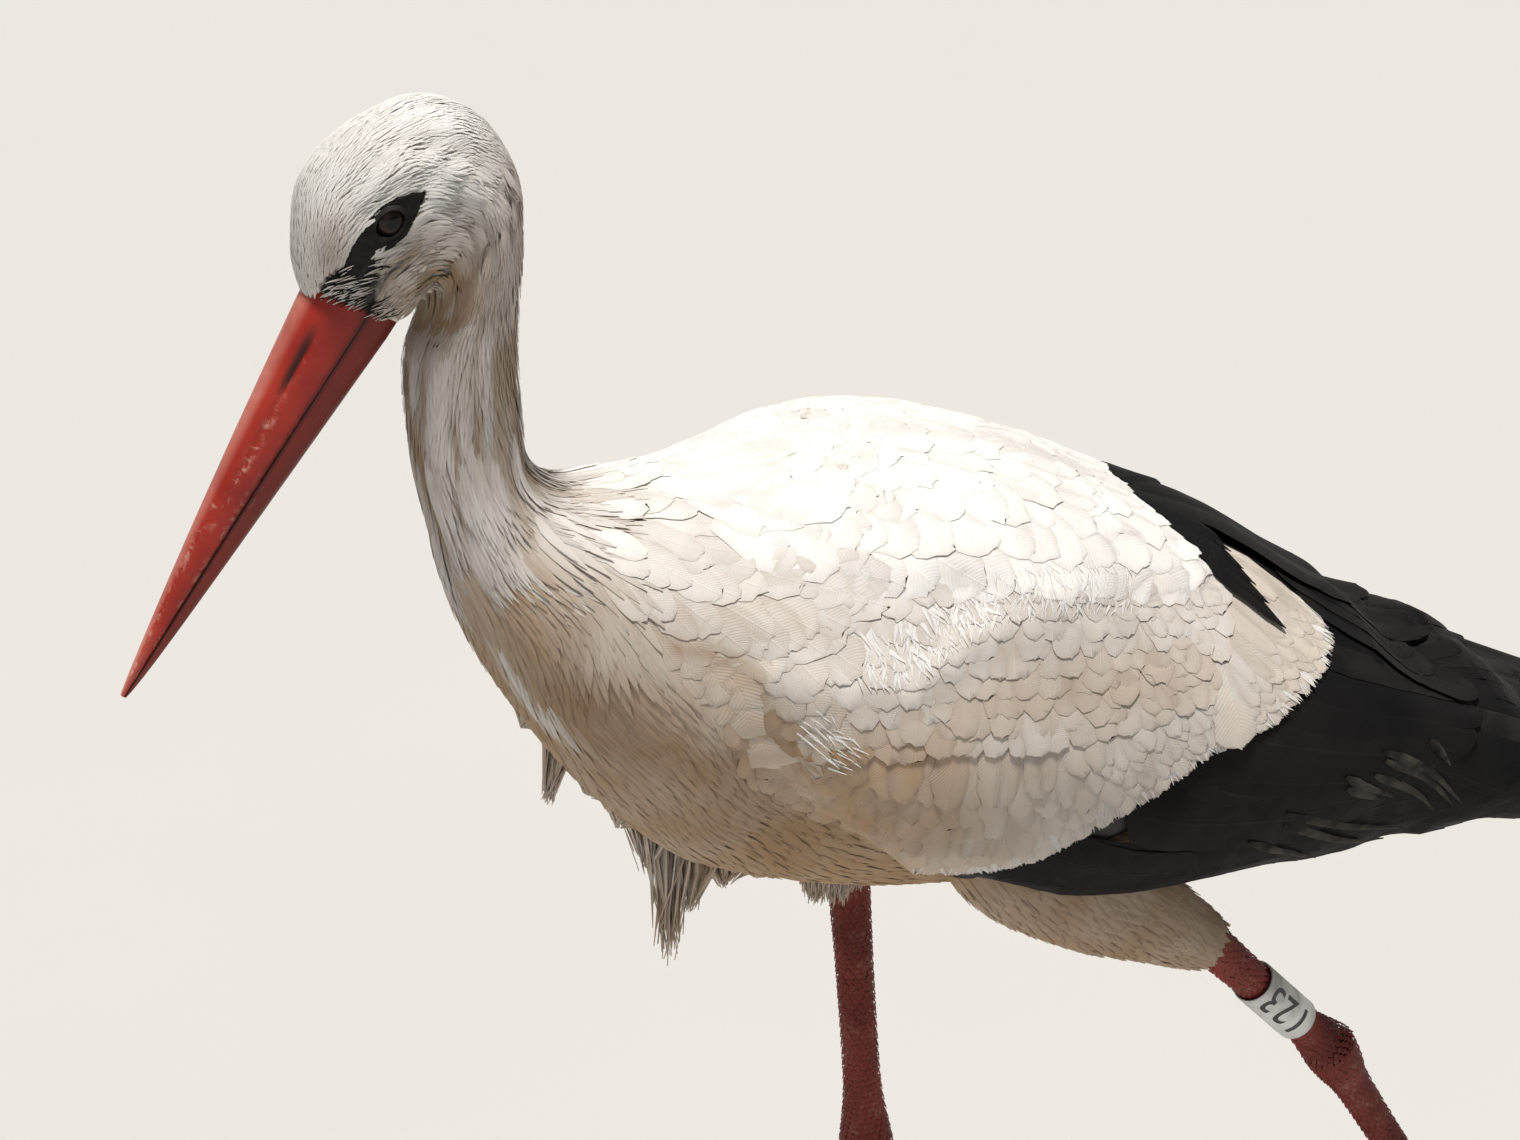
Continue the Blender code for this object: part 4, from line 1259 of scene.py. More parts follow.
def coat_belly():
    places = scatter(loft, (14.6, 22.6), (104, 256), 6.0, 4.6, 41)
    places[:, 1] = np.where(places[:, 1] > 180, places[:, 1] - 360, places[:, 1])
    rng = np.random.default_rng(42)
    length = 22 + rng.normal(0, 2, len(places))
    heading = 16 * wave(places, 16, 43)
    locks = wave(places, 7, 45, 3.0)
    grids = lay(loft, places, heading, length, 8, PLUME, 44, extra=0.5 * locks)
    # partly stain, partly painted shade: the belly is darker and heavily tan; painted shade
    # between the locks: darker valleys, lighter crests
    tone = 0.52 + 0.20 * locks + rng.normal(0, 0.04, len(places))
    join("coat_belly", grids, home(places), tone, 0.8 + stain_and_shade_down_side(places, 90, 120, 0.3), WHITE)


coat_head()
coat_neck()
coat_front()
coat_belly()

# ------------------------------------------------------------------------------- wings
SCAPULAR = Vane(round_outline, 10, 6, root=-1.2, tip=0.02, camber=0.18, tilt=0.07,
                ragged=0.07, bunch=1.6)
COVERT = Vane(round_outline, 6, 4, root=-0.8, tip=0.05, camber=0.13, tilt=0.05, ragged=0.08,
              bunch=1.6)
LONG_COVERT = Vane(round_outline, 12, 8, root=-1.4, tip=0.05, camber=0.26, tilt=0.14,
                   ragged=0.07, bunch=1.5)
FLIGHT = Vane(blade_outline, 18, 8, root=-3.0, tip=-0.2, camber=0.5, tilt=0.6, ragged=0.02,
              bunch=1.3)
WORN = Vane(lance_outline, 22, 4, root=-0.6, tip=0.0, camber=0.3, tilt=0.2, ragged=0.06,
            bunch=1.1)
POINTED = Vane(lance_outline, 14, 8, root=-1.5, tip=0.3, camber=0.5, tilt=0.3, ragged=0.03,
               bunch=1.2)


def feather_rows(surface, first, last, rows, gap, heading, length, width, vane, seed, extra,
                 loose=3.0, jitter=0.25):
    """Both sides' feathers, with their tips on rows between two lines.

    Each value is one number, or two lists of them: along the first line and along the last.
    """
    tips, across, run = rows_between(surface, first, last, rows, gap, seed, jitter)
    rng = np.random.default_rng(seed + 1)

    def value(given, spread):
        if np.isscalar(given):
            given = ((given,), (given,))
        low, high = (np.interp(run, np.linspace(0, 1, len(ends)), ends) for ends in given)
        return low + (high - low) * across + rng.normal(0, 1, len(run)) * spread

    heading, length = value(heading, loose), value(length, 2.0 * jitter)
    width, extra = value(width, 2.0 * jitter), value(extra, 0.3 * jitter)
    roots = walk(surface, tips, heading, -length)
    roots, heading = mirrored(roots), np.concatenate((heading, -heading))
    grids = lay(surface, roots, heading, np.tile(length, 2), np.tile(width, 2), vane, seed + 2,
                extra=np.tile(extra, 2))
    return grids, roots


def pooled(name, groups, tones, stains):
    """White feathers from groups of (grids, roots), with painted shade in the wing's front fold.
    """
    grids = np.concatenate([grid for grid, _ in groups])
    roots = np.concatenate([root for _, root in groups])
    rng = np.random.default_rng(len(roots))
    tone = tones + rng.normal(0, 0.04, len(roots)) + 0.12 * wave(roots, 25, 49)
    fold = fold_shade(grids)
    stain = np.broadcast_to(stains, len(roots))[:, None] + FOLD_SHADE_TINT * fold
    join(name, grids, home(roots), tone[:, None] - FOLD_SHADE * fold, stain, WHITE)


def coat_scapulars():
    middle = ((15.0, 1), (16.0, 1), (17.0, 1), (18.0, 1), (18.7, 1), (19.15, 2))
    lower = ((15.4, 50), (16.1, 54), (16.9, 52), (17.9, 51), (19.0, 42), (19.5, 28))
    groups = [
        feather_rows(wing, middle, lower, 7, 14, ((8, 10), (26, 40, 20)), 48, 25, SCAPULAR,
                     51, extra=0.3, loose=6.0, jitter=0.4),
    ]
    stain = 0.04 + stain_and_shade_down_side(groups[0][1], 20, 60, 0.12)
    pooled("coat_scapulars", groups, 0.80, stain)


def coat_coverts():
    """Small scalloped rows below the fluffy ridge."""
    ridge = ((15.3, 52), (16.4, 58), (17.1, 55), (18.0, 52), (19.0, 46), (19.5, 40))
    lower = ((15.2, 104), (16.1, 92), (16.8, 86), (17.6, 84), (18.5, 77), (19.2, 68))
    groups = [
        feather_rows(wing, ridge, lower, 9, 8, ((84, 60), (88, 62)), 19, 13, COVERT, 61,
                     extra=0.1, loose=9.0, jitter=0.5),
    ]
    roots = groups[0][1]
    # tan down the lower coverts, partly stain, partly painted shade; the smudge near the front is
    # a stain
    flank = stain_and_shade_down_side(roots, 74, 100, 0.6) * ramp(18.2, roots[:, 0], 1.3)
    smudge = ((roots[:, 0] - 15.8) / 0.45) ** 2 + ((np.abs(roots[:, 1]) - 82) / 8) ** 2
    flank = flank + 0.4 * np.exp(-smudge)
    # painted shade: a tan band just below the ridge
    band = 0.35 * hump(np.abs(roots[:, 1]) - line_at(RIDGE_LINE, roots[:, 0]), 9, 8)
    pooled("coat_coverts", groups, 0.64, 0.28 + band + flank)


def front_fluff():
    """Frayed white bits at the front of the coverts."""
    return feather_rows(wing, ((15.7, 84), (16.2, 89)), ((15.7, 91), (16.15, 95)), 5, 3.2,
                        12, 12, 1.5, LOCK, 68, extra=0.4, loose=14.0, jitter=0.25)


def ridge_fluff():
    """Downy tips that stand up along the ridge."""
    line = ((15.9, 77), (16.4, 74), (16.6, 67), (17.05, 59), (17.5, 57), (18.0, 54),
            (18.4, 52))
    above = tuple((a, angle - 9) for a, angle in line)
    return feather_rows(wing, above, line, 6, 2.4, ((60, 80), (75, 95)), 12, 2.4, LOCK, 66,
                        extra=0.3, loose=22.0, jitter=0.3)


def coat_long_coverts():
    upper = ((15.4, 98), (16.2, 97), (17.0, 97), (17.6, 94), (18.3, 84), (18.9, 76),
             (19.4, 68), (19.9, 56), (20.2, 42), (20.2, 28))
    lower = ((15.5, 110), (16.2, 114), (17.0, 118), (17.73, 114), (18.6, 94), (19.27, 80),
             (19.9, 72), (20.3, 62), (20.65, 50), (20.85, 38), (20.75, 29))
    turns = ((88, 82, 72, 50, 32, 20),) * 2
    groups = [
        feather_rows(wing, lower, lower, 1, 8, turns, 62, 17, LONG_COVERT, 71, extra=-0.7),
        feather_rows(wing, lower, upper, 6, 9, turns, ((30, 32, 38, 46, 50, 50),) * 2, 15,
                     LONG_COVERT, 85, extra=-0.3, loose=5.0, jitter=0.4),
        feathers_between(wing, (((19.25, 52), (19.62, 78)),), 24, LONG_COVERT, 79, extra=0.5),
    ]
    roots = np.concatenate([root for _, root in groups])
    # partly stain, partly painted shade: darker and tan towards the flank
    flank = ramp(18.2, roots[:, 0], 1.8)
    rear = ramp(roots[:, 0], 17.6, 1.8)
    pooled("coat_long_coverts", groups, 0.74 - 0.24 * flank - 0.26 * rear,
           0.22 + 0.75 * flank + 0.16 * rear)
    frayed = feather_rows(wing, lower[2:], lower[2:], 2, 2.4, ((72, 50, 32, 20),) * 2, 17, 3.0,
                          LOCK, 78, extra=-0.25, loose=11.0, jitter=0.7)
    pooled("coat_covert_fringe", [frayed], 0.80, 0.08)


def feathers_between(surface, ends, width, vane, seed, extra):
    """Both sides' feathers, each from a root to a tip."""
    roots, tips = (np.array([pair[k] for pair in ends], float) for k in (0, 1))
    to_tail, down = tangents(surface, roots[:, 0], roots[:, 1])
    first = np.linalg.norm(to_tail, axis=1) * (tips[:, 0] - roots[:, 0])
    second = np.linalg.norm(down, axis=1) * (tips[:, 1] - roots[:, 1])
    heading = np.degrees(np.arctan2(second, first))
    length = np.tile(np.hypot(first, second) / MM, 2)
    roots, heading = mirrored(roots), np.concatenate((heading, -heading))
    return lay(surface, roots, heading, length, width, vane, seed, extra=extra), roots


def black_scapulars():
    """The pointed black feathers that come from under the white shoulder feathers."""
    wedge = (((19.0, 20), (20.20, 42)), ((18.9, 15), (20.05, 36)), ((18.9, 12), (19.93, 31)),
             ((18.9, 9), (19.83, 27)), ((18.8, 6), (19.73, 22)), ((18.8, 4), (19.66, 19)))
    top = (((18.7, 0.5), (21.1, 10)), ((18.7, 0.5), (21.5, 9)), ((18.7, 0.5), (22.0, 8)),
           ((18.7, 0.5), (22.3, 6)), ((18.7, 0.5), (22.6, 4)), ((20.2, 3), (22.3, 18)),
           ((20.35, 9), (22.4, 28)), ((20.6, 18), (22.7, 42)))
    grids, roots = feathers_between(wing, top, 26, FLIGHT, 88, extra=2.2)
    join("black_scapulars_long", grids, home(roots), 0.5, 0.05, BLACK)
    grids, roots = feathers_between(wing, wedge, 20, POINTED, 87, extra=1.1)
    join("black_scapulars_pointed", grids, home(roots), 0.5, 0.0, BLACK)


def flight_surface(along, angle, off=0.0):
    """The wings' surface, drooping along the lower edge of the flight feathers."""
    points = wing(along, angle, off)
    low = ramp(np.abs(angle), 98, 30) ** 1.5
    points[..., 2] -= low * MM * np.interp(
        along, (17.8, 18.6, 20.6, 21.6, 22.4, 23.0), (0, 9, 13, 21, 15, 0))
    return points


# worn edges that show along the flight feathers, each from a root to a tip
WORN_EDGES = (
    ((21.30, 81), (22.69, 110)), ((21.34, 86), (22.60, 115)), ((21.25, 92), (22.3, 115)),
    ((20.88, 90), (21.59, 105)), ((20.95, 95), (21.45, 105)), ((20.30, 100), (21.95, 122)),
    ((20.34, 104), (21.8, 126)), ((20.0, 107), (21.0, 123)), ((21.9, 78), (22.26, 91)),
)


def flight_feathers():
    tips = ((17.95, 117), (18.5, 118), (19.3, 119), (20.4, 127), (21.5, 130), (22.6, 129),
            (23.6, 122), (24.6, 104), (25.1, 84), (25.2, 62), (25.0, 44), (24.7, 28),
            (24.2, 14), (23.9, 4))
    inner = ((19.2, 114), (20.4, 118), (21.4, 120), (22.4, 112), (23.2, 98), (23.8, 80),
             (24.0, 60), (23.9, 42), (23.6, 26), (23.2, 14), (22.8, 5))
    outer = ((20.6, 104), (21.6, 100), (22.3, 84), (22.7, 64), (22.7, 44), (22.5, 26),
             (22.2, 8))
    span = ((40, 90, 150, 190, 200, 200, 190),) * 2
    surface = flight_surface
    groups = [
        feather_rows(surface, tips, tips, 1, 8, ((14, 10, 4, 2, 1),) * 2, span, 26, FLIGHT, 91,
                     extra=-1.6, loose=1.0),
        feather_rows(surface, inner, inner, 1, 10, ((12, 8, 4, 2, 1),) * 2,
                     ((80, 130, 150, 160, 150),) * 2, 27, FLIGHT, 95, extra=-0.8, loose=1.0),
        feather_rows(surface, outer, outer, 1, 12, ((10, 6, 3, 1),) * 2,
                     ((90, 110, 120, 120),) * 2, 28, FLIGHT, 97, extra=0.0, loose=1.0),
    ]
    grids = np.concatenate([grid for grid, _ in groups])
    roots = np.concatenate([root for _, root in groups])
    rng = np.random.default_rng(99)
    stain = 0.12 * rng.uniform(0, 1, len(roots)) ** 4
    obj = join("flight_feathers", grids, home(roots), 0.5, stain, BLACK)
    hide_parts("wing_feathers_left", "wing_feathers_right")
    grids, roots = feathers_between(surface, WORN_EDGES, 4.8, WORN, 96, extra=0.8)
    join("flight_feathers_worn", grids, home(roots), 0.5, 0.7, BLACK)


coat_scapulars()
coat_coverts()
coat_long_coverts()
black_scapulars()
flight_feathers()
pooled("coat_ridge", [ridge_fluff(), front_fluff()], 0.97, 0.0)

# -------------------------------------------------------------------------------- tail
TAIL_ROOT = (-224.5, 421)
TAIL_TIP = (-398, 326)
TAIL_HALF_WIDTHS = (30.0, 34.0)
TAIL_HALF_DEPTHS = (17.0, 1.5)
TAIL_ARCH = 5.0


def tail_surface(along, angle, off=0.0):
    """The tail's wedge: along runs from 0 at its root to 10 at its tip."""
    along, angle = np.broadcast_arrays(np.asarray(along, float), np.asarray(angle, float))
    t = along / 10
    root, tip = np.array(TAIL_ROOT, float), np.array(TAIL_TIP, float)
    back = (tip - root) / np.linalg.norm(tip - root)
    above = np.array((back[1], -back[0]))
    wide = TAIL_HALF_WIDTHS[0] + (TAIL_HALF_WIDTHS[1] - TAIL_HALF_WIDTHS[0]) * t + off
    deep = TAIL_HALF_DEPTHS[1] + (TAIL_HALF_DEPTHS[0] - TAIL_HALF_DEPTHS[1]) * np.clip(
        1 - t, 0, 1) ** 1.6 + off
    turn = np.radians(angle)
    side = wide * np.sin(turn)
    arch = -TAIL_ARCH * t * np.sin(turn) ** 2
    rise = deep * np.cos(turn) + arch
    forward = root[0] + (tip[0] - root[0]) * t + above[0] * rise
    up = root[1] + (tip[1] - root[1]) * t + above[1] * rise
    return np.stack((side * MM, SHIFT - forward * MM, up * MM), -1)


def tail_feathers():
    spread = np.linspace(-80, 80, 12)
    above = np.stack((np.full(12, 0.5), spread), -1)
    below = np.stack((np.full(12, 0.4), 180 - spread), -1)
    coverts = scatter(tail_surface, (0.0, 5.5), (70, 290), 9, 8, 101)
    vane = Vane(blade_outline, 14, 6, root=-3.0, tip=-0.3, camber=0.6, tilt=0.3, ragged=0.02)
    grids = [
        lay(tail_surface, above, 0, 186 - 8 * (spread / 80) ** 2, 26, vane, 102, extra=-0.5),
        lay(tail_surface, below, 0, 182 - 8 * (spread / 80) ** 2, 26, vane, 103, extra=-0.5),
    ]
    roots = np.concatenate((above, below))
    obj = join("tail_feathers", np.concatenate(grids), home(roots, 11), 0.6, 0.1, WHITE)
    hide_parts("tail")
    grids = lay(tail_surface, coverts, 0, 30, 11, PLUME, 104)
    join("coat_under_tail", grids, home(coverts, 11), 0.6, 0.25, WHITE)


tail_feathers()


# ------------------------------------------------------------------------ breast tufts
# (along, length, spread along the body) of the tufts that hang from the breast
BREAST_TUFTS = (
    (13.9, 6, 0.08), (14.45, 21, 0.06), (14.9, 6, 0.1), (15.3, 9, 0.14), (15.6, 20, 0.12),
    (15.9, 50, 0.13), (16.1, 26, 0.12), (16.4, 14, 0.14), (16.7, 9, 0.1),
)
LEG_TUFTS = range(-170, 181, 15)  # angles of the tufts round the planted leg's thigh
PLUMES_IN_TUFT = 140


def breast_tufts():
    """Loose plumes that hang from the breast and from before the planted leg."""
    rng = np.random.default_rng(111)
    roots, tips = [], []
    (knee, knee_out, knee_up), (forward, out, up) = RIGHT_LEG[:2]
    thigh = limb((knee, -knee_out, knee_up), (forward, -out, up), THIGH_PROFILE)
    hanging = [(loft, along, 180, spread, 6.0, length) for along, length, spread in BREAST_TUFTS]
    hanging += [(thigh, 5.2, angle, 0.5, 12.0, 17 + 5 * math.cos(math.radians(angle)))
                for angle in LEG_TUFTS]
    for surface, along, angle, spread, wide, length in hanging:
        middle = surface(along, angle, -1.5)
        tip = middle + rng.normal(0, 0.08, 3) * length * MM - (0, 0, length * MM)
        for _ in range(PLUMES_IN_TUFT):
            spot = surface(along + rng.normal(0, spread), angle + rng.normal(0, wide), -1.5)
            end = tip + rng.normal(0, 0.06, 3) * length * MM
            roots.append(spot)
            tips.append(spot + (end - spot) * rng.uniform(0.5, 1.0))
    roots, tips = np.array(roots), np.array(tips)
    count = len(roots)
    lengths = np.linalg.norm(tips - roots, axis=1)
    ahead = (tips - roots) / lengths[:, None]
    turn = np.pi / 2 + rng.uniform(-0.5, 0.5, count)
    beside = np.cross(ahead, np.stack((np.cos(turn), np.sin(turn), np.zeros(count)), -1))
    beside /= np.linalg.norm(beside, axis=1)[:, None]
    vane = Vane(lance_outline, 6, 2, 0, 0, camber=0.35, ragged=0.05)
    grids = hang(roots, ahead, beside, lengths / MM, 1.7 + lengths / MM * 0.04, vane, 112,
                 droop=0.1)
    homes = np.stack((rng.uniform(0.4, 0.5, count), rng.uniform(0.4, 0.5, count)), -1)
    obj = join("breast_tufts", grids, homes, rng.uniform(1.0, 1.25, count), 0.8, WHITE)
    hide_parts("breast_plumes")


breast_tufts()


# -------------------------------------------------------------------------------- legs
SCALE = Vane(round_outline, 2, 2, root=-0.1, tip=0.35, camber=0.3, bunch=1.0)
SCUTE = Vane(blade_outline, 2, 6, root=0.0, tip=0.5, camber=0.1, bunch=1.0)
SCUTE_GAP = 3.6  # millimetres from one scute to the next
LOWEST_SCALE = 0.0001  # metres above the floor


def coat_thigh(side, thigh, rng):
    places = scatter(thigh, (0, 6.1), (-180, 180), 4.4, 4.0, 121)
    length = 15 - 8 * ramp(places[:, 0], 4.9, 1.2)
    length = length + rng.normal(0, 1.0, len(places))
    locks = wave(places, 7, 124, 3.0)
    grids = lay(thigh, places, 10 * wave(places, 12, 122), length, 7.5, PLUME, 123,
                extra=0.4 * locks)
    # partly stain, partly painted shade: the thigh is darker and heavily tan; painted shade
    # between the locks: darker valleys, lighter crests
    join("coat_thigh_" + side, grids, home(places, 7), 0.60 + 0.2 * locks, 0.95, WHITE)


def plates(surface, spots, length, width, vane, seed):
    """Scales on a surface, none of them lower than the floor."""
    grids = lay(surface, spots, 0, length, width, vane, seed)
    grids[..., 2] = np.maximum(grids[..., 2], LOWEST_SCALE)
    return grids


def leg_scales(side, surfaces, rng):
    """Small scales over (surface, size in millimetres) pairs."""
    found, homes = [], []
    for surface, size in surfaces:
        spots = scatter(surface, (0, len(surface.rows) - 1.02), (-180, 180), size * 0.82,
                        size * 0.92, 125, jitter=0.12)
        found.append(plates(surface, spots, size, size, SCALE, 126))
        homes.append(home(spots, 8))
    homes = np.concatenate(homes)
    join("leg_scales_" + side, np.concatenate(found), homes,
         rng.uniform(0, 1, len(homes)), 0.0, SCALES)


def toe_scutes(side, toe, path, rng):
    """One row of broad scales along the top of a toe."""
    name, _, _, length, radius = toe
    along = np.arange(0.05, TOE_STEPS - 0.3, SCUTE_GAP / (length / TOE_STEPS))
    spots = np.stack((along, np.zeros(len(along))), -1)
    grids = plates(Tube(path), spots, 4.4, radius * 2.5, SCUTE, 127)
    join(f"toe_scutes_{side}_{name}", grids, home(spots, 10),
         rng.uniform(0, 1, len(spots)), 0.0, SCALES)


def leg(side, sign, joints, seed):
    knee, feather_end, ankle, foot = (
        (forward, sign * out, up) for forward, out, up in joints)
    rng = np.random.default_rng(seed)
    coat_thigh(side, limb(knee, feather_end, THIGH_PROFILE), rng)
    centre = place(*foot)
    leg_scales(side, (
        (limb(feather_end, ankle, SHANK_PROFILE), 3.0),
        (limb(ankle, foot, TARSUS_PROFILE), 3.0),
        *((Tube(rows), 2.6) for rows in foot_tubes(side, sign, centre)),
    ), rng)
    for toe in TOES:
        path = toe_path(side, sign, centre, *toe)
        toe_scutes(side, toe, path, rng)
        claw(side, toe, path)


def claw(side, toe, path):
    """A horn that hooks down from the tip of a toe."""
    tip, wide, deep = path[-1]
    onward = (tip - path[-2][0]).normalized()
    rows = []
    for i in range(11):
        t = i / 10
        spot = tip + onward * (11.0 * t - 1.0) * MM + Vector((0, 0, -2.2 * t * t * MM))
        shrink = 0.06 + 0.84 * (1 - t) ** 0.75
        spot.z = max(spot.z, deep * shrink)
        rows.append((spot, wide * shrink * 0.9, deep * shrink))
    points, faces = tube_mesh(rows, 14)
    obj = mesh_object(f"claw_horn_{side}_{toe[0]}", points, faces, CLAW)
    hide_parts(f"claw_{side}_{toe[0]}")


CLAW = claw_paint(), "claw_dark"
leg("left", 1, LEFT_LEG, 120)
leg("right", -1, RIGHT_LEG, 130)


# -------------------------------------------------------------------------------- bill
# name, side of the mouth, depth at the face, and how soon it tapers
BILL_HALVES = (("upper", 1, 20.5, 0.92), ("lower", -1, 15.5, 0.74))
BILL_HALF_WIDTH = 12.0
BILL_ROOT = 8.0  # how far the horn runs back under the face's feathers
BILL_STEPS = 150
BILL_SIDES = 40


def nostril(t, lift):
    return np.exp(-((t - 0.125) / 0.075) ** 4 - ((lift - 0.63) / 0.07) ** 2)


def bill_swell(sign, t, turn, lift):
    """How far the horn stands out, in millimetres. t runs from the face to the tip."""
    swell = 0.0
    if sign > 0:
        groove = np.exp(-((t - 0.27) / 0.14) ** 2 - ((lift - 0.60) / 0.07) ** 2)
        swell = -1.6 * nostril(t, lift) - 0.5 * groove
    swell = swell - 0.5 * np.clip(-t * 20, 0, 1)
    hem = np.exp(-(lift / 0.10) ** 2) * np.clip(t * 6, 0, 1)
    ripple = noise(t * 90, lift * 5, 7 + sign) - 0.5
    return swell + 0.25 * hem * ripple * 2 + 0.10 * (noise(t * 30, turn * 3, 3) - 0.5)


def bill_wear_and_painted_light(sign, t, lift):
    """How worn, flaky and dark the horn is, where 0 is not at all. The paleness along the upper
    ridge is a painted highlight, and all the darkness is painted shade.
    """
    # painted highlight: the ridge of the upper half is paler
    ridge = ramp(lift, 0.84, 0.14) * (0.55 if sign > 0 else 0.0)
    worn = ridge + ramp(t, 0.80, 0.20) * 0.6 * lift + 0 * lift
    hem = hump(lift, 0.10, 0.05) * np.clip((t - 0.30) * 6, 0, 1)
    # painted shade along the mouth line
    dark = 0.8 * np.exp(-(lift / 0.05) ** 2) + 0 * worn
    if sign > 0:
        flaky = np.exp(-((lift - 0.52) / 0.10) ** 2 - ((t - 0.36) / 0.17) ** 2)
        flaky = flaky + 0.8 * hump(lift, 0.80, 0.10) * (t > 0.5) + 0.7 * hem
        # painted shade in the nostril and in the groove that runs on from it
        dark = dark + 1.2 * nostril(t, lift) + 0.35 * np.exp(
            -((t - 0.30) / 0.14) ** 2 - ((lift - 0.62) / 0.03) ** 2)
    else:
        flaky = 0.4 * hem
        # painted shade: the lower half is darker, most towards its underside
        dark = dark + 0.35 + 0.3 * lift
    return worn, flaky + 0 * worn, np.clip(dark, 0, 1)


def bill_half(name, sign, depth, bow):
    """Half of the bill's horn, flat along the mouth and round at its ridge."""
    dorsal, ventral = BODY_SECTIONS[0][0:2]
    base = (np.array(dorsal, float) + np.array(ventral)) / 2
    tip = np.array(BILL_TIP, float)
    length = np.linalg.norm(tip - base)
    ahead = (tip - base) / length
    above = np.array((-ahead[1], ahead[0]))
    first = -BILL_ROOT / length
    t = first + (1 - first) * np.linspace(0, 1, BILL_STEPS + 1)[:, None]
    turn = np.pi * np.linspace(0, 1, BILL_SIDES)[None, :]
    lift = np.sin(turn)  # 0 at the mouth line, 1 at the ridge
    taper = (1 - t) ** bow
    height = depth * (0.055 + 0.945 * taper)
    width = BILL_HALF_WIDTH * (0.10 + 0.90 * taper)
    mouth = -2.0 * (1 - t) + 0.6 * np.sin(np.pi * t)
    swell = bill_swell(sign, t, turn, lift)
    side = width * np.cos(turn) * (1 + swell / 14)
    rise = mouth + sign * (0.12 + height * lift**0.85 * (1 + swell / 22))
    forward = base[0] + ahead[0] * length * t + above[0] * rise
    up = base[1] + ahead[1] * length * t + above[1] * rise
    side, forward, up = np.broadcast_arrays(side, forward, up)
    points = np.stack((side * MM, SHIFT - forward * MM, up * MM), -1)
    index = np.arange(points[..., 0].size).reshape(points.shape[:2])
    sheet = np.stack((index[:-1, :-1], index[1:, :-1], index[1:, 1:], index[:-1, 1:]), -1)
    bottom = np.stack((index[:-1, -1], index[1:, -1], index[1:, 0], index[:-1, 0]), -1)
    faces = [sheet.reshape(-1, 4), bottom, index[:1], index[-1:, ::-1]]
    if sign < 0:
        faces = [part[:, ::-1] for part in faces]
    grid = np.stack(np.broadcast_arrays(t * 0.9 + 0.05, turn / 7 + 0.25 - sign * 0.2), -1)
    wear_and_painted_light = zip(("worn", "flaky", "dark"), bill_wear_and_painted_light(sign, t, lift))
    obj = mesh_object(
        "horn_" + name, points.reshape(-1, 3), faces, HORN,
        uvs={"OFBake": grid.reshape(-1, 2)},
        facts={label: values.ravel() for label, values in wear_and_painted_light},
    )
    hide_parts("bill_" + name)


for half in BILL_HALVES:
    bill_half(*half)


# -------------------------------------------------------------------------------- eyes
def outline_radii(corners, centre, turns, scale):
    """How far an outline is from a centre along each turn, in metres."""
    shape = (np.array(corners) - centre) * scale
    radii = []
    for turn in turns:
        way = np.array((math.cos(turn), math.sin(turn)))
        best = 0.0
        for one, two in zip(shape, np.roll(shape, -1, 0)):
            edge = two - one
            cross = way[0] * edge[1] - way[1] * edge[0]
            if abs(cross) < 1e-12:
                continue
            reach = (one[0] * edge[1] - one[1] * edge[0]) / cross
            share = (one[0] * way[1] - one[1] * way[0]) / cross
            if reach > 0 and 0 <= share <= 1:
                best = max(best, reach)
        radii.append(best)
    return np.array(radii)


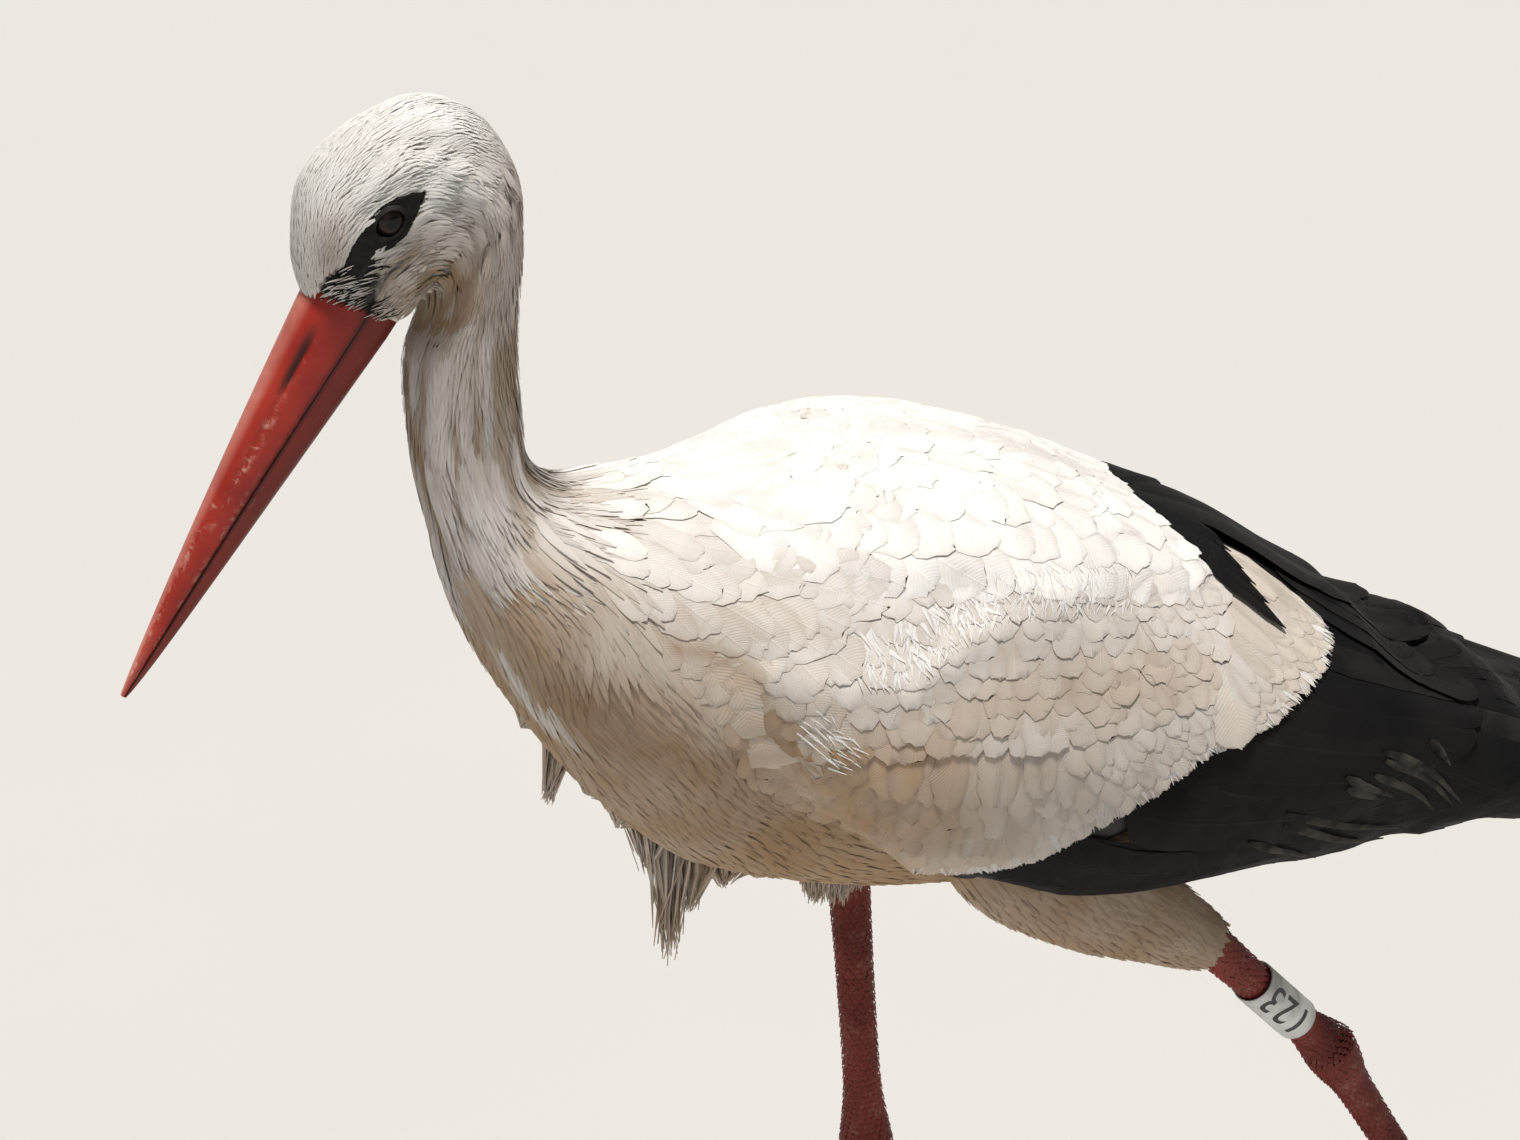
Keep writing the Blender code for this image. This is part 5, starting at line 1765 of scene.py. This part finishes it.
def face_skin(side, sign):
    """The bare black skin round an eye, from the rim of the lids to under the feathers."""
    place_of_eye = np.array(EYE_PLACE)
    to_tail, down = tangents(loft, place_of_eye[:1], place_of_eye[1:])
    scale = np.array((np.linalg.norm(to_tail), np.linalg.norm(down)))
    turns = np.linspace(0, 2 * np.pi, 96, endpoint=False)
    outer = outline_radii(ALMOND, place_of_eye, turns, scale)
    outer = (outer + np.roll(outer, 1) + np.roll(outer, -1)) / 3 + 0.9 * MM
    lids = MM / np.sqrt((np.cos(turns - 0.25) / 5.5) ** 2 + (np.sin(turns - 0.25) / 4.2) ** 2)
    shares = np.array((0, 0.02, 0.05, 0.09, 0.14, 0.2, 0.28, 0.37, 0.46, 0.56, 0.66, 0.76,
                       0.86, 0.94, 1.0))[:, None]
    reach = lids + (outer - lids) * shares
    along = place_of_eye[0] + reach * np.cos(turns) / scale[0]
    angle = place_of_eye[1] + reach * np.sin(turns) / scale[1]
    brow = 0.5 * hump(turns, 4.6, 0.9)
    away = (reach - lids) / MM
    off = (1.25 + brow) * hump(away, 0.45, 0.65) - 0.25
    off += 0.30 * np.sin(away * 5.5 + 2 * noise(turns * 3, away, 5)) * np.exp(-away / 4)
    off += 0.18 * (noise(along * 22, angle * 0.9, 6) - 0.5)
    off -= 0.9 * np.clip(shares - 0.86, 0, 1) / 0.14
    top = loft(along, sign * angle, off)
    eye_centre = np.array(place(EYE_CENTRE[0], sign * EYE_CENTRE[1], EYE_CENTRE[2]))
    away_from_eye = top - eye_centre
    distance = np.linalg.norm(away_from_eye, axis=-1)[..., None]
    closest = (EYE_RADIUS + 0.02) * MM
    top = np.where(distance < closest, eye_centre + away_from_eye / distance * closest, top)
    under = loft(along, sign * angle, -2.2)
    points = np.stack((top, under)).reshape(-1, 3)
    index = np.arange(len(points)).reshape(2, len(shares), len(turns))
    after = np.roll(index, -1, 2)
    faces = [
        np.stack((index[0, :-1], index[0, 1:], after[0, 1:], after[0, :-1]), -1),
        np.stack((index[1, :-1], after[1, :-1], after[1, 1:], index[1, 1:]), -1),
        np.stack((index[0, 0], after[0, 0], after[1, 0], index[1, 0]), -1),
        np.stack((index[0, -1], index[1, -1], after[1, -1], after[0, -1]), -1),
    ]
    faces = [part.reshape(-1, 4)[:, ::sign] for part in faces]
    mesh_object("face_skin_" + side, points, faces, FACE)


def eye(side, sign):
    """The ball, with its iris towards the side."""
    forward, out, up = EYE_CENTRE
    centre = np.array(place(forward, sign * out, up))
    rings, sides = 40, 48
    polar = np.linspace(0, np.pi, rings + 1)[:, None]
    turn = np.linspace(0, 2 * np.pi, sides, endpoint=False)[None, :]
    radius = (EYE_RADIUS - 0.1) * MM
    points = np.stack((
        sign * radius * np.cos(polar) + 0 * turn,
        radius * np.sin(polar) * np.cos(turn),
        radius * np.sin(polar) * np.sin(turn),
    ), -1) + centre
    index = np.arange((rings + 1) * sides).reshape(rings + 1, sides)
    index[0], index[-1] = index[0, 0], index[-1, 0]
    after = np.roll(index, -1, 1)
    bands = np.stack((index[1:-2], index[2:-1], after[2:-1], after[1:-2]), -1).reshape(-1, 4)
    faces = [bands, np.stack((index[0], index[1], after[1]), -1),
             np.stack((index[-2], index[-1], after[-2]), -1)]
    faces = [part[:, ::sign] for part in faces]
    used = np.unique(np.concatenate([part.ravel() for part in faces]))
    renumber = np.zeros(index.size, int)
    renumber[used] = np.arange(len(used))
    ring = np.broadcast_to(np.sin(polar) + (polar > np.pi / 2), (rings + 1, sides)).ravel()
    obj = mesh_object(
        "eyeball_" + side, points.reshape(-1, 3)[used], [renumber[part] for part in faces],
        EYE, facts={"ring": ring[used]},
    )
    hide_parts("eye_" + side)


EYE = eye_paint(), "eye_dark"
for name, sign in SIDES:
    eye(name, sign)
    face_skin(name, sign)


# -------------------------------------------------------------------------------- ring
RING_BAND = 0.85  # thickness of the band, which laps over itself
RING_LAP = 0.5  # radians of the lap
RING_TEXT = "123"
RING_TEXT_FACES = Vector((0.82, -0.33, 0.47))
DIGIT_HEIGHT = 13.5


def ring_frame():
    """The middle of the ring's end by the ankle, and the ring's axis."""
    feather_end, ankle = place(*LEFT_LEG[1]), place(*LEFT_LEG[2])
    axis = (feather_end - ankle).normalized()
    return np.array(ankle + axis * RING_ABOVE_ANKLE * MM), axis


def ring():
    """A band that laps over itself, with plain digits round it."""
    start, axis = ring_frame()
    front = (RING_TEXT_FACES - axis * axis.dot(RING_TEXT_FACES)).normalized()
    around = np.array(front.cross(axis))
    front, axis = np.array(front), np.array(axis)
    outer = RING_OUTER - RING_BAND - 0.1
    inner = outer - RING_BAND
    soft = 0.3
    profile = (
        (inner, soft), (inner + soft, 0), (outer - soft, 0), (outer, soft),
        (outer, RING_LENGTH - soft), (outer - soft, RING_LENGTH),
        (inner + soft, RING_LENGTH), (inner, RING_LENGTH - soft),
    )
    turn = 2.2 + np.linspace(0, 2 * np.pi + RING_LAP, 96)
    over = np.clip((turn - turn[-1] + RING_LAP + 0.25) / 0.25, 0, 1)
    over = RING_BAND * over * over * (3 - 2 * over)
    out = np.outer(np.cos(turn), front) + np.outer(np.sin(turn), around)
    points = [
        start + axis * height * MM + out * ((radius + over) * MM)[:, None]
        for radius, height in profile
    ]
    index = np.arange(len(profile) * len(turn)).reshape(len(profile), len(turn))
    beyond = np.roll(index, -1, 0)
    sheet = np.stack((index[:, :-1], index[:, 1:], beyond[:, 1:], beyond[:, :-1]), -1)
    faces = [sheet.reshape(-1, 4), index[:, :1].T, index[::-1, -1:].T]
    obj = mesh_object("ring_band", np.concatenate(points), faces,
                      (ring_paint(), "ring_plastic"))
    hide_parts("ring_left")
    digits(start, axis, front, around, outer)


def digits(start, axis, front, around, radius):
    """Raised digits that run along the ring and bend round it."""
    text = bpy.data.curves.new("digits", "FONT")
    text.body = RING_TEXT
    text.size = DIGIT_HEIGHT / 0.7
    text.extrude = 0.12
    text.offset = 0.12
    text.space_character = 1.1
    text.align_x = "CENTER"
    text.align_y = "CENTER"
    holder = bpy.data.objects.new("digits", text)
    bpy.context.scene.collection.objects.link(holder)
    shaped = holder.evaluated_get(bpy.context.evaluated_depsgraph_get())
    mesh = bpy.data.meshes.new_from_object(shaped)
    bpy.data.objects.remove(holder)
    made = bmesh.new()
    made.from_mesh(mesh)
    bmesh.ops.remove_doubles(made, verts=made.verts, dist=1e-4)
    for cut in np.arange(-DIGIT_HEIGHT, DIGIT_HEIGHT, 0.6):
        bmesh.ops.bisect_plane(
            made, geom=made.verts[:] + made.edges[:] + made.faces[:], plane_co=(0, cut, 0),
            plane_no=(0, 1, 0), dist=1e-5)
    for vert in made.verts:
        turn = vert.co.y / radius
        out = front * math.cos(turn) + around * math.sin(turn)
        reach = (RING_LENGTH / 2 + vert.co.x) * MM
        vert.co = start + axis * reach + out * (radius + vert.co.z) * MM
    bmesh.ops.recalc_face_normals(made, faces=made.faces)
    made.to_mesh(mesh)
    made.free()
    add_piece("ring_digits", mesh, (digit_paint(), "claw_dark"))


ring()


# ------------------------------------------------------------------ camera and lights
def lamp(name, kind, spot, aim, size, power, tint):
    """A light at a spot. size is the sun's angle, or a disk's width in metres."""
    data = bpy.data.lights.new(name, kind)
    if kind == "SUN":
        data.angle = size
    else:
        data.shape = "DISK"
        data.size = size
    data.energy = power
    data.color = tint
    obj = bpy.data.objects.new(name, data)
    obj.location = spot
    obj.rotation_euler = (Vector(aim) - Vector(spot)).to_track_quat("-Z", "Y").to_euler()
    bpy.context.scene.collection.objects.link(obj)


def stage():
    """A plain floor, a dim sky, a sun nearly overhead and a weak fill."""
    floor_mesh = bpy.data.meshes.new("floor")
    made = bmesh.new()
    bmesh.ops.create_grid(made, x_segments=1, y_segments=1, size=40.0)
    made.to_mesh(floor_mesh)
    made.free()
    floor = bpy.data.objects.new("floor", floor_mesh)
    bpy.context.scene.collection.objects.link(floor)
    floor_mesh.materials.append(floor_paint())

    world = bpy.data.worlds.new("studio")
    bpy.context.scene.world = world
    world.use_nodes = True
    world.node_tree.nodes["Background"].inputs[0].default_value = colour(0.97, 0.97, 1.0)
    world.node_tree.nodes["Background"].inputs[1].default_value = 0.14
    bpy.context.scene.view_settings.view_transform = "Standard"

    lamp("key", "SUN", (0.26, -0.30, 3.0), (0, 0, 0.5), math.radians(10), 5.0,
         (1.0, 0.965, 0.92))
    lamp("fill", "AREA", (2.4, -1.2, 1.6), (0, 0, 0.45), 2.0, 3.5, (1.0, 0.98, 0.96))


# the camera, solved from the ring's ellipse and the legs in the photo
CAMERA_TURN = (68, 28)  # degrees from the front towards the bird's left, and above it
CAMERA_LENS = 98.53  # millimetres, on a sensor 36 wide
CAMERA_SPOT = (1.28432, -0.61451, 1.25662)


def camera():
    azimuth, elevation = (math.radians(turn) for turn in CAMERA_TURN)
    back = Vector((
        math.sin(azimuth) * math.cos(elevation), -math.cos(azimuth) * math.cos(elevation),
        math.sin(elevation),
    ))
    data = bpy.data.cameras.new("camera")
    data.sensor_width = 36.0
    data.lens = CAMERA_LENS
    data.clip_end = 60
    obj = bpy.data.objects.new("camera", data)
    obj.location = CAMERA_SPOT
    obj.rotation_euler = back.to_track_quat("Z", "Y").to_euler()
    bpy.context.scene.collection.objects.link(obj)
    bpy.context.scene.camera = obj


stage()
camera()
